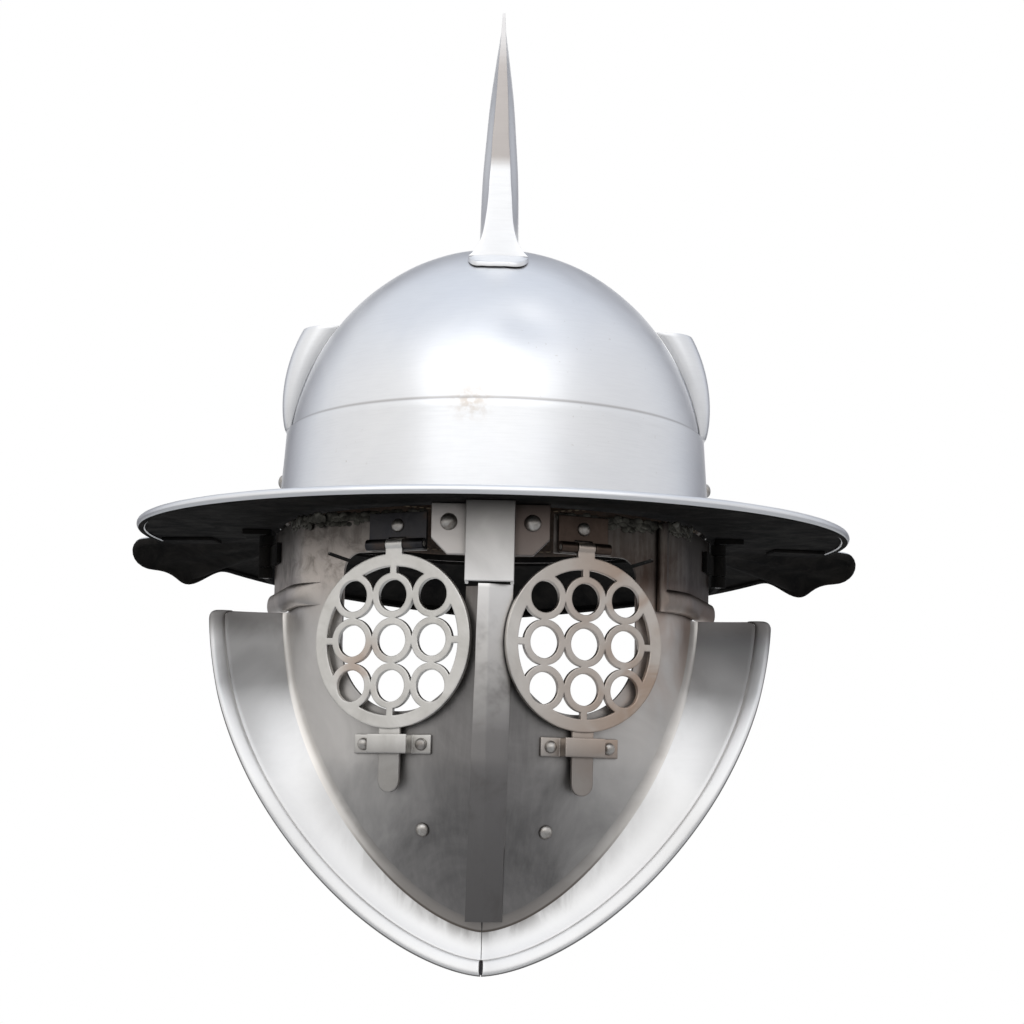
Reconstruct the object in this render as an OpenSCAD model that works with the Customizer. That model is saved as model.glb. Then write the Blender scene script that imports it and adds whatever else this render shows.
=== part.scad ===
// Visored gladiator helmet with a finned crest, a flat brim and two hinged visor halves.
// Millimetres. The front faces -Y and Z points up. The origin is the middle of the
// bowl's base, on the top face of the brim, where a head sits in the bowl.

/* [Bowl] */
// Half width of the dome at its widest level
bowl_half_width = 100; // [90:1:120]
// Half length of the dome, front to back
bowl_half_length = 118; // [105:1:140]
// Height of the dome's widest level above the brim
dome_level = 30; // [20:1:36]
// Rise of the dome above its widest level
dome_rise = 108; // [85:1:130]
// Height of the band's upper edge
band_top = 46; // [41:1:56]
// How far the band flares out from its upper edge to the brim
band_flare = 3.2; // [1:0.1:6]
// Steel sheet of the bowl, the brim and the neck guard
sheet = 1.6; // [1.2:0.1:2]

/* [Brim] */
// Width of the brim at the sides, measured from the dome's half width
brim_side = 71; // [55:1:90]
// Width of the brim at the front, measured from the dome's half length
brim_front = 45; // [36:1:60]
// Angle from the front at which the front brim ends
brim_end_angle = 100; // [95:1:105]
// Diameter of the rolled edge
rim_d = 4.6; // [3:0.1:6]
// Length of a joint strap along the brim
strap_w = 26; // [16:1:36]
// Width of a joint strap across the joint
strap_span = 16; // [10:1:18]

/* [Neck guard] */
// Width of the neck guard at the rear, measured from the dome's half length
guard_back = 42; // [32:1:60]
// Drop of the neck guard's rear edge
guard_drop = 24.5; // [10:0.5:40]
// How far the ear stands out beyond the brim's outline
ear_reach = 28; // [8:1:32]
// How far the lobe behind the ear stands out
lobe_reach = 8; // [4:1:16]
// How far the lobe hangs down
lobe_drop = 9.5; // [0:0.5:14]

/* [Crest] */
// Distance of the crest's front edge ahead of the bowl's middle
crest_front = 60; // [40:1:75]
// Distance of the crest's rear end from the dome's rear
crest_rear_inset = 16; // [10:1:40]
// Height of the crest's tip above the dome's top
crest_height = 103; // [60:1:150]
// Half thickness of the hollow crest at its foot
crest_half_thick = 8.2; // [6:0.1:12]
// Steel sheet of the crest
crest_sheet = 1.2; // [0.8:0.1:1.6]
// Half width of the crest's foot plate
foot_half_width = 14; // [11:0.5:20]

/* [Plume holders] */
// Height of a holder from its closed foot to its mouth
plume_height = 51; // [36:1:62]
// Gap between the band's upper edge and a holder's foot
plume_foot_gap = 2; // [1:0.5:10]
// Depth of the mouth, from the dome to the outer wall
plume_depth = 15; // [10:0.5:22]
// Half width of the mouth
plume_half_width = 15; // [10:0.5:22]
// Steel sheet of the holders
plume_sheet = 1.2; // [0.8:0.1:1.6]

/* [Visor] */
// Gap between the brim's underside and the visor's upper edge
visor_gap = 3.6; // [3:0.1:6]
// Distance of the visor's ridge ahead of the dome's front
ridge_ahead = 19; // [14:1:25]
// Angle of the flat cheeks to the ridge's cross line
cheek_yaw = 26; // [20:1:30]
// Distance from the end of the flat cheeks to the temple walls' ends, across the helmet
bend_inset = 34; // [28:1:40]
// Radius of the bend at the temples
bend_radius = 40; // [30:1:50]
// Angle of the temple walls
temple_yaw = 75; // [70:1:80]
// How far the temple walls' ends stand in from the dome's half width
temple_inset = 0; // [-5:1:5]
// Distance of the cheek crease's upper end from the temple walls' ends, across the helmet
crease_inset = 8; // [4:1:16]
// Level of the upper end of the cheek crease, below the brim
crease_top = 45; // [42:1:52]
// Level of the crease at the chin, below the brim
chin_depth = 181; // [160:1:215]
// How far the chin stands back from the ridge
chin_setback = 19; // [8:1:28]
// Flat height left between the keepers and the part of the visor that leans back
lean_margin = 2.9; // [1:0.1:14]
// Roundness of the cheek outline, where 2 is an ellipse
cheek_round = 1.65; // [1.4:0.05:2]
// Steel sheet of the visor
visor_sheet = 1.5; // [1:0.1:2]
// Gap between the two halves at the ridge
seam_gap = 1.2; // [0.8:0.1:2]

/* [Cheek flanges] */
// Width of the flared flange at the temple, across the helmet
flange_side = 35; // [24:1:48]
// Height of the flared flange at the chin
flange_low = 20; // [12:1:40]
// How far the flange's outer edge stands ahead of the crease
flange_forward = 9; // [0:0.5:16]
// Width of the raised border along the edge
border_w = 7; // [4:0.5:10]
// Thickness of the raised border
border_t = 3; // [2:0.1:4]

/* [Centre strip] */
// Reach of the strip over the left half
strip_left = 4.6; // [3:0.1:5]
// Reach of the strip over the right half
strip_right = 10.4; // [8:0.1:12]
// Gap between the strip and the ridge
strip_gap = 0.5; // [0.4:0.1:1]

/* [Brow bracket] */
// Width of the channel's front face
channel_w = 21; // [16:0.5:24]
// Depth of the channel
channel_d = 14; // [10:0.5:16]
// Level of the channel's lower edge, below the brim
channel_drop = 36.5; // [30:0.5:38]
// Half width over the riveted tabs
tab_half_width = 25.5; // [22:0.5:26]
// Level of the tabs' lower edge, below the brim
tab_drop = 24; // [18:0.5:27]
// Diameter of a tab rivet's head
tab_rivet_d = 7.4; // [5:0.1:9]

/* [Eye grilles] */
// Diameter of a grille
grille_d = 75; // [70:0.5:76]
// Thickness of a grille
grille_t = 2; // [1.5:0.1:3]
// Distance of a grille's centre from the ridge
eye_x = 39.5; // [39:0.5:41]
// Level of a grille's centre, below the brim
eye_depth = 61; // [60:0.5:63]
// Diameter of the nine round holes
hole_d = 13.6; // [11:0.1:14]
// Spacing of the holes
hole_pitch = 19.4; // [18:0.1:21]
// Width of the web round a hole
web_w = 3; // [2:0.1:4]
// Width of the outer ring
ring_w = 5.5; // [4:0.1:7]
// Space between the cheek and the back of a grille
grille_lift = 2.6; // [2.4:0.1:3]
// Width of the tongue under a grille
tongue_w = 10; // [8:0.5:12]
// Length of the tongue under a grille
tongue_l = 27; // [20:1:32]
// Radius of the eye opening's round lower part
eye_r = 30; // [27:0.5:31]
// How far the eye opening reaches above the grille
eye_above = 1.5; // [0:0.1:2]
// How far the eye opening stands towards the nose from the grille's centre
eye_shift = 2.5; // [0:0.5:3]

/* [Grille hinges] */
// Width of the right hinge plate
leaf_w_right = 24; // [20:0.5:26]
// Width of the left hinge plate
leaf_w_left = 28; // [20:0.5:28]
// Width of the lug between the knuckles
lug_w = 8; // [6:0.5:10]
// Outer diameter of the knuckles
knuckle_d = 5; // [4:0.1:6]
// Diameter of the hinge pin
pin_d = 2.4; // [1.6:0.1:3]
// Height of a hinge plate above its pin
leaf_h = 14; // [12:0.5:14.5]

/* [Keepers] */
// Width of a keeper's bridge
bridge_w = 19; // [16:0.5:22]
// Height of a keeper along the tongue
keeper_h = 8.2; // [6:0.2:10]
// Length of a keeper's foot
keeper_foot = 9; // [7:0.5:11]
// Sheet of a keeper
keeper_t = 1.2; // [0.8:0.1:1.6]
// Room for the tongue under a keeper's bridge
keeper_room = 5.5; // [5.2:0.1:6.5]

/* [Side hinges] */
// Diameter of a side hinge's pin
side_pin_d = 3.4; // [2.4:0.1:4]
// Outer diameter of a side hinge's knuckles
side_knuckle_d = 7; // [6:0.1:9]
// Height of one of the two fixed knuckles
side_knuckle_h = 5; // [4:0.5:6.5]
// Level of a side hinge's lower end, below the brim
side_hinge_drop = 26; // [24:1:40]
// Distance of a side hinge's pin behind the temple wall
side_pin_reach = 5.5; // [5:0.1:8]
// Length of a side bracket behind its pin
side_bracket_l = 28; // [22:1:34]

/* [Liner] */
// Thickness of the leather
leather_t = 3; // [2:0.1:4]
// Space between the dome and the leather cap
cap_space = 7; // [4:0.5:12]

/* [Clearances] */
// Gap between curved sheets that lie together
lap_gap = 0.4; // [0.3:0.05:0.6]
// Gap between flat faces that are riveted or welded together
seat_gap = 0.05; // [0.02:0.01:0.1]
// Radial clearance of a pin that turns
run_gap = 0.05; // [0.02:0.01:0.1]
// Radial clearance of a pin that is held fast
hold_gap = 0.02; // [0.01:0.01:0.05]
// Gap along a pin between two knuckles
knuckle_gap = 0.4; // [0.3:0.05:0.6]

/* [Hidden] */
$fn = 48;

// Steps round the bowl and along the visor's curves
around = 44;
rise_steps = 9;
cheek_rows = 11;
cheek_cols = 12;
flange_cols = 22;
side_steps = 12;

steel = "#c9ccd0";
cheek_steel = "#a8a39c";
grille_steel = "#9d968c";
dark_steel = "#4a474a";
leather = "#6b4a2f";

// Room for the flats of curves that are made of facets
facet_gap = 0.15;
// Levels under the brim
under_brim = -sheet;
visor_top = under_brim - visor_gap;
// The dome's lower edge hangs inside the band
dome_from = dome_level + 2;

// Overall reaches, from the bowl outward
brim_half_width = bowl_half_width + brim_side;
brim_reach = bowl_half_length + brim_front;
guard_reach = bowl_half_length + guard_back;
crest_rear = bowl_half_length - crest_rear_inset;
crest_tip = dome_level + dome_rise + crest_height;
plume_foot = band_top + plume_foot_gap;
plume_top = plume_foot + plume_height;
ridge_reach = bowl_half_length + ridge_ahead;
temple_half_width = bowl_half_width - temple_inset;
bend_start = temple_half_width - bend_inset;
crease_half_width = temple_half_width - crease_inset;
flange_half_width = crease_half_width + flange_side;
flange_depth = chin_depth + flange_low;
// The keepers stand a little below the grilles, on the flat part of the cheeks
keeper_drop = 2.4;
lean_start = eye_depth + grille_d / 2 + keeper_drop + keeper_h + lean_margin;

// Shared curves

function unit(v) = v / norm(v);
function smooth(t) = let (c = min(1, max(0, t))) c * c * (3 - 2 * c);
function bump(a, at, wide) = exp(-pow((a - at) / wide, 2));

// Ratio by which the dome narrows at a level
function dome_ratio(z) = sqrt(max(0, 1 - pow((z - dome_level) / dome_rise, 2)));
// Point of the dome shrunk by a wall, at an angle from the front and a level
function dome_point(a, z, inset = 0) =
    let (k = sqrt(max(0, 1 - pow((z - dome_level) / (dome_rise - inset), 2))))
    [(bowl_half_width - inset) * k * sin(a), -(bowl_half_length - inset) * k * cos(a), z];
// Height of the dome above a place in plan, on a surface that stands off by a gap
function dome_height(x, y, gap = 0) =
    dome_level + (dome_rise + gap) * sqrt(max(0, 1 - pow(x / (bowl_half_width + gap), 2)
        - pow(y / (bowl_half_length + gap), 2)));

// Half width of the band's inner face at a level
band_inner_top = bowl_half_width * dome_ratio(band_top) + lap_gap + facet_gap;
function band_inner(z) = band_inner_top + band_flare * (band_top - z) / band_top;
bowl_stretch = bowl_half_length - bowl_half_width;
function hoop_point(a, half, z) = [half * sin(a), -(half + bowl_stretch) * cos(a), z];

// Inner edge of the brim and the neck guard, flush with the band's inner face
brim_inner = band_inner(0) + facet_gap + seat_gap;
function polar_reach(a, across, along) = 1 / norm([sin(a) / across, cos(a) / along]);
function brim_inner_point(a) = polar_reach(a, brim_inner, brim_inner + bowl_stretch) * [sin(a), -cos(a)];
// Edge of the front brim, drawn in from its outline
function brim_edge(a, inset) =
    polar_reach(a, brim_half_width - inset, brim_reach - inset) * [sin(a), -cos(a)];

// Outline of the neck guard at an angle from the front
ear_angle = 108;
ear_width = 4.6;
lobe_angle = 115;
lobe_width = 3;
guard_start = brim_end_angle + 0.3;
flat_angle = 5;
ear_drop = 6;
fall_power = 0.75;
guard_curl = 1.4;
function guard_out(a) = polar_reach(a, brim_half_width - rim_d, guard_reach)
    + ear_reach * bump(a, ear_angle, ear_width) + lobe_reach * bump(a, lobe_angle, lobe_width);
function guard_fall(a) = smooth((a - guard_start - flat_angle) / flat_angle)
    * (ear_drop * bump(a, ear_angle, ear_width) + lobe_drop * bump(a, lobe_angle, lobe_width)
        + guard_drop * pow(max(0, a - brim_end_angle) / (180 - brim_end_angle), fall_power));
// Point of the guard at an angle from the front, a share of its width and a depth
function guard_point(a, s, down) =
    let (b = a > 180 ? 360 - a : a)
    let (r_in = polar_reach(b, brim_inner, brim_inner + bowl_stretch))
    let (r = r_in + (guard_out(b) - r_in) * s)
    [r * sin(a), -r * cos(a), -down - guard_fall(b) * pow(s, guard_curl)];

// Plan curve of the visor, by its length from the ridge
flat_l = bend_start / cos(cheek_yaw);
bend_l = bend_radius * (temple_yaw - cheek_yaw) * PI / 180;
bend_end_x = bend_start + bend_radius * (sin(temple_yaw) - sin(cheek_yaw));
bend_end_y = -ridge_reach + bend_start * tan(cheek_yaw)
    + bend_radius * (cos(cheek_yaw) - cos(temple_yaw));
function plan_angle(u) = u <= flat_l ? cheek_yaw
    : u >= flat_l + bend_l ? temple_yaw
    : cheek_yaw + (u - flat_l) / bend_radius * 180 / PI;
function plan_point(u) = let (a = plan_angle(u))
    u <= flat_l ? [u * cos(cheek_yaw), u * sin(cheek_yaw) - ridge_reach]
    : u >= flat_l + bend_l ? [bend_end_x, bend_end_y]
        + (u - flat_l - bend_l) * [cos(temple_yaw), sin(temple_yaw)]
    : [bend_start, bend_start * tan(cheek_yaw) - ridge_reach]
        + bend_radius * [sin(a) - sin(cheek_yaw), cos(cheek_yaw) - cos(a)];
function plan_normal(u) = let (a = plan_angle(u)) [sin(a), -cos(a)];
// Length along the plan curve at a half width
function plan_length(x) = x <= bend_start ? x / cos(cheek_yaw)
    : x >= bend_end_x ? flat_l + bend_l + (x - bend_end_x) / cos(temple_yaw)
    : flat_l + bend_radius * PI / 180
        * (asin((x - bend_start) / bend_radius + sin(cheek_yaw)) - cheek_yaw);
// Set-back of the visor at a level, and its steepness
lean_power = 1.4;
function lean(z) = chin_setback * pow(max(0, -z - lean_start) / (chin_depth - lean_start), lean_power);
function lean_angle(z) = atan(chin_setback * lean_power / (chin_depth - lean_start)
    * pow(max(0, -z - lean_start) / (chin_depth - lean_start), lean_power - 1));
// A point of the right half, kept clear of the seam
function seam_clear(p) = [max(p.x, seam_gap / 2), p.y, p.z];
// Point of the visor's sheet, off its outer face by a distance
function visor_point(u, z, off = 0) = let (p = plan_point(u) + off * plan_normal(u))
    [p.x, p.y + lean(z), z];

// Crease between the cheek and the flange, from the temple (0) to the chin (90)
crease_power = 2 / cheek_round;
function crease_x(a) = max(seam_gap / 2, crease_half_width * pow(cos(a), crease_power));
function crease_z(a) = -crease_top - (chin_depth - crease_top) * pow(sin(a), crease_power);
function crease_point(a) = visor_point(plan_length(crease_x(a)), crease_z(a));
function flange_edge(a) =
    [max(seam_gap / 2, flange_half_width * pow(cos(a), crease_power)),
     crease_point(a).y - flange_forward,
     -crease_top - (flange_depth - crease_top) * pow(sin(a), crease_power)];
// Point of the flange's front face, a distance out from the crease
function flange_way(a) = unit(flange_edge(a) - crease_point(a));
function flange_width(a) = norm(flange_edge(a) - crease_point(a));
flange_dish = 2.5;
function flange_point(a, d) = crease_point(a) + d * flange_way(a)
    + [0, flange_dish * sin(180 * d / flange_width(a)), 0];
function flange_normal(a) =
    let (along = crease_point(max(0, a - 2)) - crease_point(min(90, a + 2)))
    unit(cross(along, -flange_way(a)));

// Side hinge: the pin's place in plan
temple_l = plan_length(temple_half_width);
temple_off = lap_gap + visor_sheet;
side_pin = plan_point(temple_l) + side_pin_reach * [cos(temple_yaw), sin(temple_yaw)]
    + (temple_off + seat_gap + side_knuckle_d / 2) * plan_normal(temple_l);

// Grille hinge, in the eye's own frame: across, up and out of the cheek
rim_to_knuckle = 1.5;
pin_up = grille_d / 2 + knuckle_d / 2 + rim_to_knuckle;
pin_out = lap_gap + knuckle_d / 2;

// Crest: upper edge and half thickness
crest_rear_z = dome_height(0, crest_rear);
crest_sweep = 1.8;
crest_top_half = 1.1;
function crest_edge(y) = crest_rear_z + (crest_tip - crest_rear_z)
    * pow(max(0, 1 - pow((y + crest_front) / (crest_rear + crest_front), crest_sweep)), 1 / crest_sweep);
function crest_half(f) = crest_top_half + (crest_half_thick - facet_gap - seat_gap) * (1 - pow(f, 2.2));
function crest_base(y) = dome_height(crest_half(0), y, lap_gap) + 2 * seat_gap;
// Half width of the crest's front strip at a share of its height
function strip_half(f) = 1.4 + 5.6 * (1 - f) + 7 * exp(-f * 19);

// Sheet between two grids of points; rows run up and columns run to the right, seen from outside
module grid_sheet(outer, inner, wrap = false) {
    rows = len(outer);
    cols = len(outer[0]);
    size = rows * cols;
    last = wrap ? cols - 1 : cols - 2;
    function at(i, j) = i * cols + j % cols;
    top = rows - 1;
    right = cols - 1;
    skins = [for (i = [0:rows - 2], j = [0:last])
        let (a = at(i, j), b = at(i, j + 1), c = at(i + 1, j + 1), d = at(i + 1, j))
        each [[a, d, c], [a, c, b], [a + size, c + size, d + size], [a + size, b + size, c + size]]];
    rims = [for (j = [0:last])
        let (a = at(0, j), b = at(0, j + 1), c = at(top, j + 1), d = at(top, j))
        each [[a, b, b + size], [a, b + size, a + size], [c, d, d + size], [c, d + size, c + size]]];
    ends = wrap ? [] : [for (i = [0:rows - 2])
        let (a = at(i, 0), d = at(i + 1, 0), b = at(i, right), c = at(i + 1, right))
        each [[d, a, a + size], [d, a + size, d + size], [b, c, c + size], [b, c + size, b + size]]];
    polyhedron(concat([for (r = outer) each r], [for (r = inner) each r]), concat(skins, rims, ends));
}

// Dome-shaped shell between two sets of rings, each closed by its apex
module cap_shell(outer, outer_apex, inner, inner_apex) {
    rows = len(outer);
    cols = len(outer[0]);
    size = rows * cols;
    tip = 2 * size;
    function at(i, j) = i * cols + j % cols;
    skins = [for (i = [0:rows - 2], j = [0:cols - 1])
        let (a = at(i, j), b = at(i, j + 1), c = at(i + 1, j + 1), d = at(i + 1, j))
        each [[a, d, c], [a, c, b], [a + size, c + size, d + size], [a + size, b + size, c + size]]];
    edges = [for (j = [0:cols - 1])
        let (a = at(0, j), b = at(0, j + 1), c = at(rows - 1, j), d = at(rows - 1, j + 1))
        each [[a, b, b + size], [a, b + size, a + size], [c, tip, d], [c + size, d + size, tip + 1]]];
    polyhedron(concat([for (r = outer) each r], [for (r = inner) each r], [outer_apex, inner_apex]),
        concat(skins, edges));
}

// Bar through a list of rings, closed at both ends
module bar(rings) {
    count = len(rings);
    sides = len(rings[0]);
    function at(i, j) = i * sides + j % sides;
    skins = [for (i = [0:count - 2], j = [0:sides - 1])
        let (a = at(i, j), b = at(i, j + 1), c = at(i + 1, j + 1), d = at(i + 1, j))
        each [[a, b, c], [a, c, d]]];
    caps = [for (j = [1:sides - 2])
        each [[at(0, 0), at(0, j + 1), at(0, j)],
              [at(count - 1, 0), at(count - 1, j), at(count - 1, j + 1)]]];
    polyhedron([for (r = rings) each r], concat(skins, caps));
}

module on_side(side) {
    if (side > 0) children();
    else mirror([1, 0, 0]) children();
}

// Round-headed rivet with its seat at the origin, standing along Z
module rivet_head(d, h) {
    sphere_r = (d * d / 4 + h * h) / (2 * h);
    intersection() {
        translate([0, 0, h - sphere_r]) sphere(sphere_r);
        cylinder(h = h, d = d);
    }
}

// Frame of the right eye: X across the cheek, Y up, Z out of the cheek's face
module eye_frame() {
    at = plan_point(plan_length(eye_x));
    translate([at.x, at.y, -eye_depth]) rotate([0, 0, cheek_yaw]) rotate([90, 0, 0]) children();
}

// Bowl

module dome_cap() {
    levels = [for (i = [0:rise_steps - 1])
        let (a = i / rise_steps * 90) dome_from + (dome_rise + dome_level - dome_from) * sin(a)];
    color(steel) cap_shell(
        [for (z = levels) [for (j = [0:around - 1]) dome_point(j * 360 / around, z)]],
        [0, 0, dome_level + dome_rise],
        [for (z = levels) [for (j = [0:around - 1])
            dome_point(j * 360 / around,
                min(z, dome_level + (z - dome_level) * (1 - sheet / dome_rise)), sheet)]],
        [0, 0, dome_level + dome_rise - sheet]);
}

module bowl_band() {
    levels = [seat_gap, band_top / 2, band_top];
    color(steel) grid_sheet(
        [for (z = levels) [for (j = [0:around - 1]) hoop_point(j * 360 / around, band_inner(z) + sheet, z)]],
        [for (z = levels) [for (j = [0:around - 1]) hoop_point(j * 360 / around, band_inner(z), z)]],
        wrap = true);
}

// Side rivets stand on the band a little above the brim
band_rivet_z = 24;
band_rivet_d = 8;
module band_side_rivets() {
    half = band_inner(band_rivet_z) + sheet + 2 * seat_gap;
    color(steel) for (side = [1, -1])
        on_side(side) translate([half, 0, band_rivet_z])
            rotate([0, 90 - atan(band_flare / band_top), 0]) rivet_head(band_rivet_d, 2.6);
}

// Brim

module front_brim() {
    steps = around;
    edge = [for (i = [0:steps])
        let (a = brim_end_angle * (2 * i / steps - 1)) brim_edge(a, rim_d + seat_gap)];
    hole = [for (i = [steps:-1:0]) brim_inner_point(brim_end_angle * (2 * i / steps - 1))];
    color(steel) translate([0, 0, -sheet]) linear_extrude(sheet) polygon(concat(edge, hole));
}

rim_sides = 8;
module front_rim() {
    steps = around;
    rings = [for (i = [0:steps])
        let (a = brim_end_angle * (2 * i / steps - 1), p = brim_edge(a, rim_d / 2))
        let (out = unit([p.x / pow(brim_half_width, 2), p.y / pow(brim_reach, 2)]))
        [for (k = [0:rim_sides - 1]) let (b = 360 * (k + 0.5) / rim_sides)
            [p.x + rim_d / 2 * cos(b) * out.x, p.y + rim_d / 2 * cos(b) * out.y,
             rim_d / 2 * sin(b) - sheet / 2]]];
    color(steel) bar(rings);
}

module neck_guard() {
    steps = 100;
    shares = [1, 0.7, 0.35, 0];
    span = 360 - 2 * guard_start;
    color(steel) grid_sheet(
        [for (s = shares) [for (i = [0:steps]) guard_point(guard_start + span * i / steps, s, 0)]],
        [for (s = shares) [for (i = [0:steps]) guard_point(guard_start + span * i / steps, s, sheet)]]);
}

module brim_joint_straps() {
    edge_gap = 1;
    strap_start = norm(brim_edge(brim_end_angle, rim_d + edge_gap)) - strap_w;
    color(dark_steel) for (side = [1, -1])
        on_side(side) rotate([0, 0, brim_end_angle - 90])
            translate([strap_start, -strap_span / 2, under_brim - seat_gap - sheet])
                cube([strap_w, strap_span, sheet]);
}

// Crest

module crest_side(side) {
    steps = 20;
    rise = 7;
    length = crest_rear - 2 + crest_front;
    function place(i) = length * (1 - cos(90 * i / steps)) - crest_front;
    function skin(i, k, off) =
        let (y = place(i), f = k / rise, low = crest_base(y), high = max(crest_edge(y), low + 2))
        [crest_half(f) - off, y, low + (high - low) * f];
    color(steel) on_side(side) grid_sheet(
        [for (k = [0:rise]) [for (i = [0:steps]) skin(i, k, 0)]],
        [for (k = [0:rise]) [for (i = [0:steps]) skin(i, k, min(crest_sheet, crest_half(k / rise) - 0.2))]]);
}

module crest_front_strip() {
    steps = 16;
    low = dome_height(0, -crest_front - lap_gap, lap_gap) + seat_gap;
    function skin(k, j, off) = let (f = pow(k / steps, 1.5))
        [strip_half(f) * j, -crest_front - lap_gap - off, low + (crest_tip - low) * f];
    color(steel) grid_sheet(
        [for (k = [0:steps]) [for (j = [-1, 1]) skin(k, j, crest_sheet)]],
        [for (k = [0:steps]) [for (j = [-1, 1]) skin(k, j, 0)]]);
}

module crest_foot() {
    foot_reach = 11;
    rows = 4;
    cols = 8;
    start = -crest_front - lap_gap - crest_sheet - seat_gap;
    function skin(i, j, off) =
        let (x = foot_half_width * (2 * j / cols - 1))
        let (y = start - foot_reach * (1 - i / rows) * (1 - 0.25 * pow(x / foot_half_width, 2)))
        [x, y, dome_height(x, y, lap_gap) + off];
    color(steel) grid_sheet(
        [for (i = [0:rows]) [for (j = [0:cols]) skin(i, j, crest_sheet)]],
        [for (i = [0:rows]) [for (j = [0:cols]) skin(i, j, 2 * seat_gap)]]);
}

// Plume holders: half-round pockets that taper to their foot

module plume_holder(side) {
    cols = 14;
    rows = 7;
    foot_depth = 2.6;
    foot_share = 0.55;
    function skin(i, j, off) =
        let (f = i / rows, z = plume_foot + (plume_top - plume_foot) * f)
        let (b = 180 * j / cols - 90)
        let (half = plume_half_width * (foot_share + (1 - foot_share) * f) - off)
        let (y = half * sin(b))
        let (wall = bowl_half_width * sqrt(max(0, 1 - pow((z - dome_level) / dome_rise, 2)
            - pow(y / bowl_half_length, 2))) + lap_gap + facet_gap + seat_gap)
        let (stand = plume_depth * pow(f, 0.8) + foot_depth - off)
        [wall + stand * pow(max(0, cos(b)), 0.6), y, z];
    color(steel) on_side(side) grid_sheet(
        [for (i = [0:rows]) [for (j = [0:cols]) skin(i, j, 0)]],
        [for (i = [0:rows]) [for (j = [0:cols]) skin(i, j, plume_sheet)]]);
}

// Brow plate and bracket

channel_stand = 3;
tab_face = ridge_reach - channel_d + channel_stand;
tab_rivet_x = (tab_half_width + channel_w / 2) / 2;
tab_rivet_z = -10;
tab_chamfer = 7;
function tab_outline(half) = [[-half, under_brim - seat_gap], [-half, tab_chamfer - tab_drop],
    [tab_chamfer - half, -tab_drop], [half - tab_chamfer, -tab_drop],
    [half, tab_chamfer - tab_drop], [half, under_brim - seat_gap]];
module brow_plate() {
    color(dark_steel) translate([0, -tab_face + visor_sheet + seat_gap, 0]) rotate([90, 0, 0])
        linear_extrude(visor_sheet) polygon(tab_outline(tab_half_width));
}

module brow_bracket() {
    t = visor_sheet;
    half = channel_w / 2;
    front = tab_face + channel_d;
    hat = [[-tab_half_width, -tab_face], [-tab_half_width, -tab_face - t], [-half, -tab_face - t],
        [-half, -front], [half, -front], [half, -tab_face - t], [tab_half_width, -tab_face - t],
        [tab_half_width, -tab_face], [half - t, -tab_face], [half - t, t - front],
        [t - half, t - front], [t - half, -tab_face]];
    color(cheek_steel) intersection() {
        translate([0, 0, -channel_drop]) linear_extrude(channel_drop + under_brim - seat_gap) polygon(hat);
        translate([0, 1, 0]) rotate([90, 0, 0]) linear_extrude(front + 2) union() {
            polygon(tab_outline(tab_half_width));
            translate([-half, -channel_drop]) square([channel_w, channel_drop]);
        }
    }
}

module bracket_rivets() {
    color(grille_steel) for (x = [-tab_rivet_x, tab_rivet_x])
        translate([x, -tab_face - visor_sheet - seat_gap, tab_rivet_z])
            rotate([90, 0, 0]) rivet_head(tab_rivet_d, 2);
}

// Side hinges: brackets and pins on the brim, leaves on the visor halves

side_low = -side_hinge_drop;
hinge_top_gap = 0.6;
side_high = visor_top - hinge_top_gap;
module side_hinge_bracket(side) {
    plate_t = 2.4;
    foot_w = 14;
    foot_gap = 8;
    color(dark_steel) on_side(side) translate([side_pin.x, side_pin.y, 0]) difference() {
        union() {
            translate([-plate_t / 2, 0, side_low])
                cube([plate_t, side_bracket_l, side_high - side_low]);
            translate([-plate_t / 2, foot_gap, side_low])
                cube([plate_t, side_bracket_l - foot_gap, under_brim - seat_gap - side_low]);
            translate([-plate_t / 2, foot_gap, under_brim - seat_gap - plate_t])
                cube([foot_w, side_bracket_l - foot_gap, plate_t]);
            translate([0, 0, side_low]) cylinder(h = side_high - side_low, d = side_knuckle_d);
        }
        translate([0, 0, side_low + side_knuckle_h])
            cylinder(h = side_high - side_low - 2 * side_knuckle_h, d = side_knuckle_d + 2);
        translate([0, 0, side_low - 1])
            cylinder(h = side_hinge_drop, d = side_pin_d + 2 * hold_gap);
    }
}

module side_hinge_pin(side) {
    color(steel) on_side(side) translate([side_pin.x, side_pin.y, side_low])
        cylinder(h = side_high - side_low, d = side_pin_d);
}

module side_hinge_leaf(side) {
    leaf_t = 2;
    leaf_l = 22;
    low = side_low + side_knuckle_h + knuckle_gap;
    high = side_high - side_knuckle_h - knuckle_gap;
    color(dark_steel) on_side(side) translate([side_pin.x, side_pin.y, low])
        rotate([0, 0, temple_yaw]) difference() {
            union() {
                cylinder(h = high - low, d = side_knuckle_d);
                translate([-leaf_l, side_knuckle_d / 2 - leaf_t, 0]) cube([leaf_l, leaf_t, high - low]);
            }
            translate([0, 0, -1]) cylinder(h = high - low + 2, d = side_pin_d + 2 * run_gap);
        }
}

// Liner

module liner_band() {
    band_low = 3;
    levels = [band_low, dome_level];
    function half(z) = band_inner(z) - lap_gap;
    color(leather) grid_sheet(
        [for (z = levels) [for (j = [0:around - 1]) hoop_point(j * 360 / around, half(z), z)]],
        [for (z = levels) [for (j = [0:around - 1]) hoop_point(j * 360 / around, half(z) - leather_t, z)]],
        wrap = true);
}

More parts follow.
